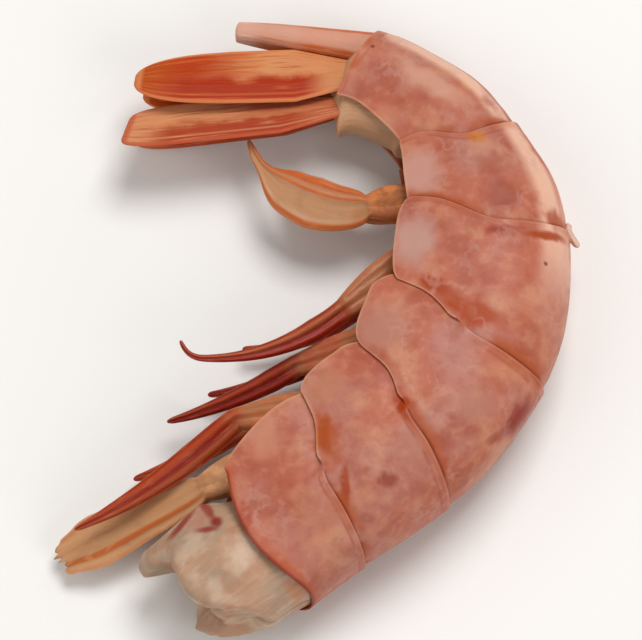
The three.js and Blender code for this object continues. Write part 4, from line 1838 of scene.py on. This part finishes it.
LEAF_PAINTS = LimbPaints(
    base=(172, 100, 58), fold=(146, 80, 44), near=(192, 92, 38), far=(182, 88, 28), core=(184, 136, 96),
    edge=(206, 124, 66),
)
TORN_LEAF_PAINTS = LimbPaints(
    base=(186, 130, 86), fold=(154, 92, 54), near=(188, 126, 80), far=(182, 92, 36), core=(194, 144, 100),
    edge=(212, 156, 110),
)
DARK_PAINTS = LimbPaints(near=(164, 60, 34), far=(138, 30, 14), core=(118, 18, 6), edge=(184, 92, 60))
HOOKED_PAINTS = LimbPaints(near=(172, 84, 46), far=(158, 38, 18), core=(136, 26, 10), edge=(188, 108, 70))

LEGS = (
    LegSizes(
        "leg_right_1", Side.RIGHT, ring=0, at=0.66, base=8.4, blade=18.6, splay=19, paddle=4.6, wide=7,
        widest=0.7, tip=1.8, roll=2, paints=TORN_LEAF_PAINTS, make=Blade.TORN_LEAF,
    ),
    LegSizes(
        "leg_right_2", Side.RIGHT, ring=1, at=0.7, base=14, blade=23, splay=28, paddle=4.2, wide=3.6,
        widest=0.3, tip=7.2, roll=12, bend=33, turn=-18,
    ),
    LegSizes(
        "leg_right_3", Side.RIGHT, ring=2, at=0.8, base=14, blade=16.5, splay=46, paddle=4, wide=3,
        widest=0.2, tip=4.5, roll=20, bend=14, turn=-22, paints=DARK_PAINTS,
    ),
    LegSizes(
        "leg_right_4", Side.RIGHT, ring=3, at=0.72, base=13, blade=22, splay=46, paddle=4.6, wide=3,
        widest=0.2, tip=11, roll=20, turn=-50, paints=HOOKED_PAINTS, hook=-60,
    ),
    LegSizes(
        "leg_right_5", Side.RIGHT, ring=4, at=0.38, base=6, blade=18.6, splay=99, paddle=4.6, wide=7,
        widest=0.35, tip=6, roll=10, turn=-84, paints=LEAF_PAINTS, make=Blade.LEAF,
    ),
    LegSizes(
        "leg_left_1", Side.LEFT, ring=0, at=0.7, base=8, blade=12, splay=24, paddle=4.2, wide=5,
        widest=0.6, tip=0.9, roll=4, paints=TORN_LEAF_PAINTS, make=Blade.TORN_LEAF,
    ),
    LegSizes(
        "leg_left_2", Side.LEFT, ring=1, at=0.66, base=12, blade=15, splay=32, paddle=4, wide=3.6,
        widest=0.3, tip=2, roll=20, bend=24, turn=-12,
    ),
    LegSizes(
        "leg_left_3", Side.LEFT, ring=2, at=0.7, base=12, blade=12, splay=50, paddle=4, wide=3,
        widest=0.2, tip=2.4, roll=20, bend=12, turn=-20, paints=DARK_PAINTS,
    ),
    LegSizes(
        "leg_left_4", Side.LEFT, ring=3, at=0.7, base=11, blade=14, splay=50, paddle=4.4, wide=3,
        widest=0.2, tip=2.4, roll=20, turn=-40, paints=HOOKED_PAINTS,
    ),
    LegSizes(
        "leg_left_5", Side.LEFT, ring=4, at=0.4, base=6, blade=13, splay=106, paddle=4, wide=5,
        widest=0.35, tip=2.6, roll=10, turn=-60, paints=LEAF_PAINTS, make=Blade.LEAF,
    ),
)


@dataclass(frozen=True)
class SwimmingLegs:
    """The five pairs of legs: each a thick paddle that narrows at a joint, then a long thin blade."""

    form: BodyForm
    # Where a leg is rooted, beside and below the meat.
    out: float = 0.3
    clearance: float = 0.3
    rooted: float = 1.6
    root_wide: float = 3.0
    base_thick: float = 1.7
    joint_thick: float = 1.3
    blade_thick: float = 0.8
    fine_steps: int = 240
    rows: Rows = Rows(100, 8, 0.025, 0.02)
    # A hooked tip, and a leaf that narrows from a share of its blade on, over another share.
    hook_from: float = 0.88
    hook_taper: float = 1.35
    leaf_wide: float = 1.05
    leaf_end: float = 0.34
    leaf_span: Span = (0.52, 0.3)
    # Unevenness: waves up and down, frayed edges, and a torn end's teeth, how far and from where.
    seed_step: float = 3.7
    waves: float = 9.0
    sway: float = 0.18
    sway_from: float = 0.2
    frayed: float = 0.07
    fray_seed: float = 0.37
    teeth: Span = (0.7, 0.8)
    # The drifting folds of the base, and the share over which it blends into the blade.
    base_thin: float = 0.72
    fold_crests: tuple[Crest, ...] = (Crest(0.12, 0.16, 0.7), Crest(-0.5, 0.12, 0.5))
    fold_drift: float = 0.12
    fold_waves: float = 4.0
    blade_join: Span = (0.1, 0.4)

    def build(self) -> None:
        """Builds and dresses the ten legs."""
        for number, sizes in enumerate(LEGS):
            piece = self.leg(sizes, self.seed_step * number)
            Workbench.hand_over(piece, Slot.LEGS, LimbFinish(sizes.name, sizes.paints).material())

    def line(self, sizes: LegSizes) -> Array:
        """The line that a leg follows.

        Args:
            sizes: The leg's sizes.

        Returns:
            Its points, from where it leaves the belly to its tip.
        """
        ends = self.form.seam_at
        along = np.array([blend(ends[sizes.ring], ends[sizes.ring + 1], sizes.at)])
        track = self.form.track(along)
        drop = self.form.size("core", along) + self.clearance + self.root_wide / 2
        root = track.place[0] - track.back[0] * drop[0]
        root[2] += sizes.side.value * self.out * self.form.size("half", along)[0]
        heading = float(self.form.heading(along)[0]) + 180 - sizes.splay
        total = sizes.base + sizes.blade
        joint = blend(root[2], sizes.tip, sizes.base / total)
        base_steps = round(self.fine_steps * sizes.base / total)
        base = walk_line(root, heading, sizes.base, 0, joint, base_steps)
        steps = self.fine_steps - base_steps
        blade = walk_line(base[-1], heading + sizes.bend, sizes.blade, sizes.turn, sizes.tip, steps)
        return self.hooked(np.concatenate([base, blade[1:]]), sizes.hook)

    def hooked(self, line: Array, hook: float) -> Array:
        """A line with its last stretch curled round in plan.

        Args:
            line: The line.
            hook: How far it curls, in degrees.

        Returns:
            The curled line.
        """
        first = round(self.hook_from * (len(line) - 1))
        steps = np.diff(line[first:, :2], axis=0)
        turn = np.radians(hook) * smooth(np.linspace(0, 1, len(steps)))
        turned_x = steps[:, 0] * np.cos(turn) - steps[:, 1] * np.sin(turn)
        turned_y = steps[:, 0] * np.sin(turn) + steps[:, 1] * np.cos(turn)
        found = line.copy()
        found[first + 1 :, :2] = line[first, :2] + np.cumsum(np.stack([turned_x, turned_y], axis=1), axis=0)
        return found

    def widths(self, sizes: LegSizes, on_base: Array, on_blade: Array) -> Array:
        """Widths along a leg.

        Args:
            sizes: The leg's sizes.
            on_base: Shares along its base, 1 past it.
            on_blade: Shares along its blade, 0 before it.

        Returns:
            The width at each share.
        """
        make = sizes.make.value
        base = self.root_wide + (sizes.paddle - self.root_wide) * np.sin(math.pi * on_base)
        rising = on_blade < sizes.widest
        fill = np.where(rising, on_blade / sizes.widest, (1 - on_blade) / (1 - sizes.widest))
        end = np.where(rising, self.root_wide, make.tip_wide)
        taper = self.hook_taper if sizes.hook else make.taper
        blade = blend(end, sizes.wide, np.where(rising, fill**0.5, fill**taper))
        if sizes.make is Blade.LEAF:
            narrowing = smooth((on_blade - self.leaf_span[0]) / self.leaf_span[1])
            blade = blade * self.leaf_wide * blend(1.0, self.leaf_end, narrowing)
        return np.where(on_blade <= 0, base, blade)

    def profile(self, make: BladeMake, joint: float) -> Profile:
        """The thickness of a leg.

        Args:
            make: Make of its blade.
            joint: Share of its length at which the blade begins.

        Returns:
            A function that gives its share at shares across and along the leg.
        """
        over, before = self.blade_join

        def share(across: Array, run: Array) -> Array:
            """Blends the folded base into the blade."""
            base = self.base_thin + (1 - self.base_thin) * self.folds(across, run, joint)
            return blend(base, make.profile(across), smooth((run - joint) / over + before))

        return share

    def folds(self, across: Array, run: Array, joint: float) -> Array:
        """How high the lengthwise folds of a leg's base stand, from 0 to 1."""
        drift = self.fold_drift * np.sin(run / joint * self.fold_waves)
        return np.clip(1 - raised(self.fold_crests, across - drift), 0, 1)

    def torn_end(self, seed: float) -> Profile:
        """How far a torn end's teeth reach on.

        Args:
            seed: Number that sets where they lie.

        Returns:
            A function that gives the reach at shares across and along the leg.
        """
        reach, begin = self.teeth

        def ragged(across: Array, run: Array) -> Array:
            """Three waves across the leg, of different lengths, that grow towards its tip."""
            teeth = np.sin(across * 5.0 + seed) * np.sin(across * 9.0 + 1.0) + 0.3 * np.sin(across * 17.0)
            return reach * (teeth - 1) * smooth((run - begin) / (1 - begin))

        return ragged

    def leg(self, sizes: LegSizes, seed: float) -> Piece:
        """Models one leg.

        Args:
            sizes: The leg's sizes.
            seed: Number that sets its unevenness.

        Returns:
            The leg, with its readings for the finish.
        """
        make = sizes.make.value
        run = self.rows.runs()
        joint = sizes.base / (sizes.base + sizes.blade)
        on_base = np.clip(run / joint, 0, 1)
        on_blade = np.clip((run - joint) / (1 - joint), 0, 1)
        cap, start = self.rows.cap(run), self.rows.opening(run)
        wide = self.widths(sizes, on_base, on_blade) * blend(make.blunt, 1.0, cap) * start
        spots = np.stack([run * self.waves, np.full_like(run, seed), run * 0], axis=1)
        wide = wide * (1 - 2 * self.frayed * uneven(spots, 1.0, seed + self.fray_seed) + self.frayed)
        thick = np.where(run <= joint, self.base_thick, blend(self.joint_thick, self.blade_thick, on_blade))
        line = line_at(self.line(sizes), run)
        line[:, 2] += self.sway * np.sin(run * self.waves + seed) * smooth(run / self.sway_from)
        line[0] = line[0] - unit(line[1:2] - line[:1])[0] * self.rooted
        profile = self.profile(make, joint)
        ragged = self.torn_end(seed) if sizes.make is Blade.TORN_LEAF else None
        strap = Strap(-sizes.side.value * sizes.roll)
        strip = Strip(line, run, wide, thick * cap * start)
        piece, across, row = strap.model(f"{sizes.name}_piece", strip, profile, ragged)
        Workbench.note(
            piece,
            across=across,
            reach=np.where(run <= joint, on_base - 1, on_blade)[row],
            strand=profile(across, np.maximum(run[row], joint + 2 * self.blade_join[0])),
            folds=self.folds(across, run[row], joint),
        )
        Workbench.close(piece)
        return piece


@dataclass(frozen=True)
class BladeSizes:
    """Sizes of one blade of the fan.

    Its root lies on from the end of the middle line, up towards the back and out to its side. It heads as
    given in degrees from +X and is rolled about its own length. Blunt is how blunt its tip is, stub how
    much of its width is left there, and skew how far it is cut aslant.
    """

    name: str
    side: Side
    on: float
    up: float
    out: float
    heading: float
    length: float
    wide: float
    thick: float
    tip_out: float
    roll: float
    blunt: float
    stub: float
    skew: float
    paints: BladePaints = BladePaints()


# On the spike the lower colour is the paler one: painted light on its top edge, over a middle side in painted
# shade.
SPIKE_PAINTS = BladePaints(
    root=(196, 98, 50), middle=(196, 112, 72), lower=(200, 136, 108), rib=(208, 150, 124),
    rim=(210, 158, 136), tip=(222, 178, 160), root_end=0.6,
)
# Pale middle and dark lower colours: painted light on the outer blades' top side and painted shade beneath.
OUTER_PAINTS = BladePaints(
    root=(182, 96, 62), middle=(208, 142, 94), lower=(166, 64, 34), rib=(218, 158, 114), rim=(182, 82, 50),
    tip=(204, 132, 88),
)

FAN = (
    BladeSizes(
        "telson", Side.MIDDLE, on=-2.4, up=2.3, out=0, heading=171, length=17, wide=5.4, thick=2.2, tip_out=0,
        roll=90, blunt=2, stub=0.45, skew=0, paints=SPIKE_PAINTS,
    ),
    BladeSizes(
        "fan_inner_right", Side.RIGHT, on=-1.6, up=-1.2, out=1.4, heading=183, length=27.6, wide=8.2, thick=1,
        tip_out=2.8, roll=12, blunt=3, stub=0.2, skew=0.2,
    ),
    BladeSizes(
        "fan_outer_right", Side.RIGHT, on=-0.2, up=-5.6, out=1.2, heading=187, length=26.8, wide=7.4, thick=1,
        tip_out=1.8, roll=24, blunt=6, stub=0.6, skew=0.4, paints=OUTER_PAINTS,
    ),
    BladeSizes(
        "fan_inner_left", Side.LEFT, on=-1.6, up=-1.4, out=1, heading=183, length=26.6, wide=6.6, thick=1,
        tip_out=1.2, roll=8, blunt=3, stub=0.2, skew=0.2,
    ),
    BladeSizes(
        "fan_outer_left", Side.LEFT, on=-0.4, up=-4, out=2.6, heading=186, length=25.6, wide=5.8, thick=1,
        tip_out=4.2, roll=12, blunt=6, stub=0.6, skew=0.4, paints=OUTER_PAINTS,
    ),
)


@dataclass(frozen=True)
class TailFan:
    """The spike in the middle of the fan and its two pairs of blades."""

    form: BodyForm
    root_share: float = 0.4
    spread: float = 2.0
    tip_left: float = 0.75
    line_steps: int = 60
    rows: Rows = Rows(96, 8, 0.02, 0.02)
    # The spike is thicker at its root and grooved. A blade has ribs, fine ribs and thick rims.
    spike_swell: float = 0.91
    grooves: tuple[Crest, ...] = (Crest(0.1, 0.2, 0.3), Crest(-0.5, 0.12, 0.16))
    ribs: tuple[Crest, ...] = (Crest(-0.06, 0.08), Crest(0.4, 0.06, 0.7))
    fine_often: float = 30.0
    fine_rib: Crest = Crest(1.0, 0.5, 0.25)
    rims: Crest = Crest(0.9, 0.09, 0.2)
    web: Span = (0.5, 0.28)
    rib_thick: float = 0.26
    root_thick: float = 0.8
    # Where ribs and grooves end near the tip and begin near the root, and over how much they fade.
    fade_tip: Span = (0.97, 0.15)
    fade_root: Span = (0.03, 0.1)

    def build(self) -> None:
        """Builds and dresses the spike and the four blades."""
        for sizes in FAN:
            piece = self.blade(sizes)
            Workbench.hand_over(piece, Slot.FAN, BladeFinish(sizes.name, sizes.paints).material())

    def rib_height(self, across: Array) -> Array:
        """How high the lengthwise ribs stand at shares across a blade, from 0 to 1."""
        fine = raised((self.fine_rib,), np.sin(across * self.fine_often))
        return np.minimum(raised(self.ribs, across) + fine, 1)

    def profile(self, lone: bool) -> Profile:
        """The thickness of a blade or the spike.

        Args:
            lone: Whether it is the spike.

        Returns:
            A function that gives its share at shares across and along it.
        """

        def share(across: Array, run: Array) -> Array:
            """Lays grooves into the spike, or ribs and rims on a blade.

            Args:
                across: Shares across it.
                run: Shares along it.

            Returns:
                The share of its thickness.
            """
            fade = smooth((self.fade_tip[0] - run) / self.fade_tip[1])
            fade = fade * smooth((run - self.fade_root[0]) / self.fade_root[1])
            if lone:
                return 1 - raised(self.grooves, across) * fade
            body = self.web[0] + self.web[1] * (1 - across**2)
            ribbed = body + self.rib_thick * self.rib_height(across) + raised((self.rims,), np.abs(across))
            return blend(self.root_thick, ribbed, fade)

        return share

    def blade(self, sizes: BladeSizes) -> Piece:
        """Models one blade or the spike.

        Args:
            sizes: Its sizes.

        Returns:
            The blade, with its readings for the finish.
        """
        track = self.form.track(np.array([self.form.end]))
        root = track.place[0] + track.forward[0] * sizes.on + track.back[0] * sizes.up
        tip = root[2] + sizes.side.value * sizes.tip_out
        root[2] += sizes.side.value * sizes.out
        run = self.rows.runs()
        line = line_at(walk_line(root, sizes.heading, sizes.length, 0, tip, self.line_steps), run)
        lone = sizes.side is Side.MIDDLE
        spread = 1.0 if lone else np.minimum(1, self.root_share + self.spread * run)
        end = np.sqrt(1 - (1 - sizes.stub**2) * run ** (2 * sizes.blunt))
        cap, start = self.rows.cap(run), self.rows.opening(run)
        wide = sizes.wide * spread * end * blend(self.tip_left, 1.0, cap) * start
        swell = 1 + self.spike_swell * (1 - run) if lone else 1.0
        strip = Strip(line, run, wide, sizes.thick * swell * cap * start)
        strap = Strap(-sizes.roll if sizes.side is Side.LEFT else sizes.roll, sizes.skew)
        piece, across, row = strap.model(f"{sizes.name}_piece", strip, self.profile(lone))
        rib = np.zeros_like(across) if lone else self.rib_height(across)
        Workbench.note(piece, across=across, run=run[row], rib=rib)
        Workbench.close(piece)
        return piece


@dataclass(frozen=True)
class Shred:
    """The shred of skin that is caught at a seam and stands off the ridge of the back."""

    form: BodyForm
    # Where it is rooted behind its seam, and how it stands off the back and curls in.
    seam: int = 4
    behind: float = 1.2
    sunk: float = 0.1
    length: float = 3.2
    stand: float = 0.96
    stand_ease: float = 1.5
    curl: float = 0.3
    wide: float = 1.6
    end_wide: float = 0.8
    thick: float = 0.9
    ripple: float = 0.25
    rows: Rows = Rows(16, 5, 0.15, 0.1)
    around: int = 24
    paints: LimbPaints = LimbPaints(
        base=(214, 170, 146), fold=(196, 146, 120), near=(222, 184, 164), far=(214, 172, 150),
        core=(212, 168, 146), edge=(230, 198, 180),
    )

    def build(self) -> None:
        """Builds and dresses the shred."""
        along = self.form.seam_edge(self.seam, np.array([1.0])) + self.behind
        track = self.form.track(along)
        root = track.place[0] + track.back[0] * (self.form.size("back", along)[0] - self.sunk)
        run = self.rows.runs()
        off = self.stand * run**self.stand_ease - self.curl * np.sin(run * math.pi)
        line = root - track.forward[0] * (self.length * run)[:, None] + track.back[0] * off[:, None]
        cap = self.rows.cap(run) * self.rows.opening(run)
        strip = Strip(line, run, blend(self.wide, self.end_wide, run) * cap, self.thick * cap)
        strap = Strap(90, around=self.around)
        piece, across, row = strap.model("shred_piece", strip, self.profile)
        Workbench.note(
            piece,
            across=across,
            reach=run[row],
            strand=np.ones_like(across),
            folds=np.ones_like(across),
        )
        Workbench.close(piece)
        Workbench.hand_over(piece, Slot.MEAT, LimbFinish("shred", self.paints).material())

    def profile(self, across: Array, run: Array) -> Array:
        """The share of its thickness, with ripples that run aslant, at shares across and along it."""
        return 1 - self.ripple + self.ripple * np.sin(across * 6 + run * 9)


@dataclass(frozen=True)
class Lamp:
    """A soft lamp: its name, its place, its size and its power."""

    name: str
    place: Place
    size: float
    power: float


@dataclass(frozen=True)
class Studio:
    """The pale floor, the soft lights and the camera. The lens and its sensor are in millimetres."""

    floor_size: float = 8.0
    floor_drop: float = 0.0002
    floor_paint: Paint = (238, 236, 233)
    floor_shade: Cloud = Cloud((225, 222, 218), 0.06, 40.0, 2.0, 0.0, (0.0, 1.0))
    floor_rough: Span = (0.1, 0.6)
    floor_pores: Span = (0.6, 0.01)
    room_paint: tuple[float, ...] = (1.0, 0.99, 0.97, 1.0)
    room_power: float = 0.3
    lamps: tuple[Lamp, ...] = (
        Lamp("key", (0.36, 0.74, 1.55), 0.9, 21.0),
        Lamp("fill", (-1.1, -0.5, 1.0), 1.2, 5.5),
        Lamp("side", (1.0, -1.0, 0.9), 1.0, 8.0),
    )
    lens: float = 420.0
    sensor: float = 36.0
    elevation: float = 70.0
    view_width: float = 0.0764
    target: Place = (0.0, 0.0, 0.007)
    near: float = 0.01

    def build(self) -> None:
        """Sets up the floor, the room's light, the lamps and the camera."""
        self.floor()
        self.room()
        for lamp in self.lamps:
            self.hang(lamp)
        self.camera()
        bpy.context.scene.view_settings.view_transform = "Standard"

    def floor(self) -> None:
        """Lays the floor, with its faint unevenness."""
        bpy.ops.object.select_all(action="DESELECT")
        bpy.ops.mesh.primitive_plane_add(size=self.floor_size, location=(0, 0, -self.floor_drop))
        floor = bpy.context.active_object
        floor.name = "floor"
        graph = Graph("floor")
        patches = self.floor_shade.noise(graph)
        pore, pore_depth = self.floor_pores
        colour = graph.tint(self.floor_paint, self.floor_shade.paint, patches, self.floor_shade.strength)
        graph.feed(graph.shader.inputs["Base Color"], colour)
        graph.feed(graph.shader.inputs["Roughness"], graph.calc("MULTIPLY_ADD", patches, *self.floor_rough))
        graph.feed(graph.shader.inputs["Normal"], graph.bump(graph.grain(pore), pore_depth))
        floor.data.materials.append(graph.material)

    def room(self) -> None:
        """Fills the room with soft white light."""
        world = bpy.data.worlds.new("room")
        world.use_nodes = True
        light = world.node_tree.nodes["Background"]
        light.inputs["Color"].default_value = self.room_paint
        light.inputs["Strength"].default_value = self.room_power
        bpy.context.scene.world = world

    def hang(self, lamp: Lamp) -> None:
        """Hangs a lamp that points at the part.

        Args:
            lamp: The lamp.
        """
        bpy.ops.object.light_add(type="AREA", location=lamp.place)
        hung = bpy.context.active_object
        hung.name = lamp.name
        hung.data.size = lamp.size
        hung.data.energy = lamp.power
        way = Vector(self.target) - Vector(lamp.place)
        hung.rotation_euler = way.to_track_quat("-Z", "Y").to_euler()

    def camera(self) -> None:
        """Sets the camera at the photograph's viewing angle."""
        distance = self.view_width / self.sensor * self.lens
        tilt = math.radians(self.elevation)
        away = Vector((0.0, -math.cos(tilt), math.sin(tilt)))
        bpy.ops.object.camera_add(location=Vector(self.target) + away * distance)
        camera = bpy.context.active_object
        camera.rotation_euler = (-away).to_track_quat("-Z", "Y").to_euler()
        camera.data.lens = self.lens
        camera.data.sensor_width = self.sensor
        camera.data.clip_start = self.near
        bpy.context.scene.camera = camera


def main() -> None:
    """Builds the shrimp round the frame, then the studio."""
    logging.basicConfig(level=logging.INFO, format="%(name)s %(message)s")
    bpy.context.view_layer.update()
    noise.seed_set(SEED)
    form = BodyForm()
    Meat(form, MeatFinish()).build()
    ShellPlates(form, ShellFinish()).build()
    SwimmingLegs(form).build()
    TailFan(form).build()
    Shred(form).build()
    Studio().build()


if __name__ == "__main__":
    main()
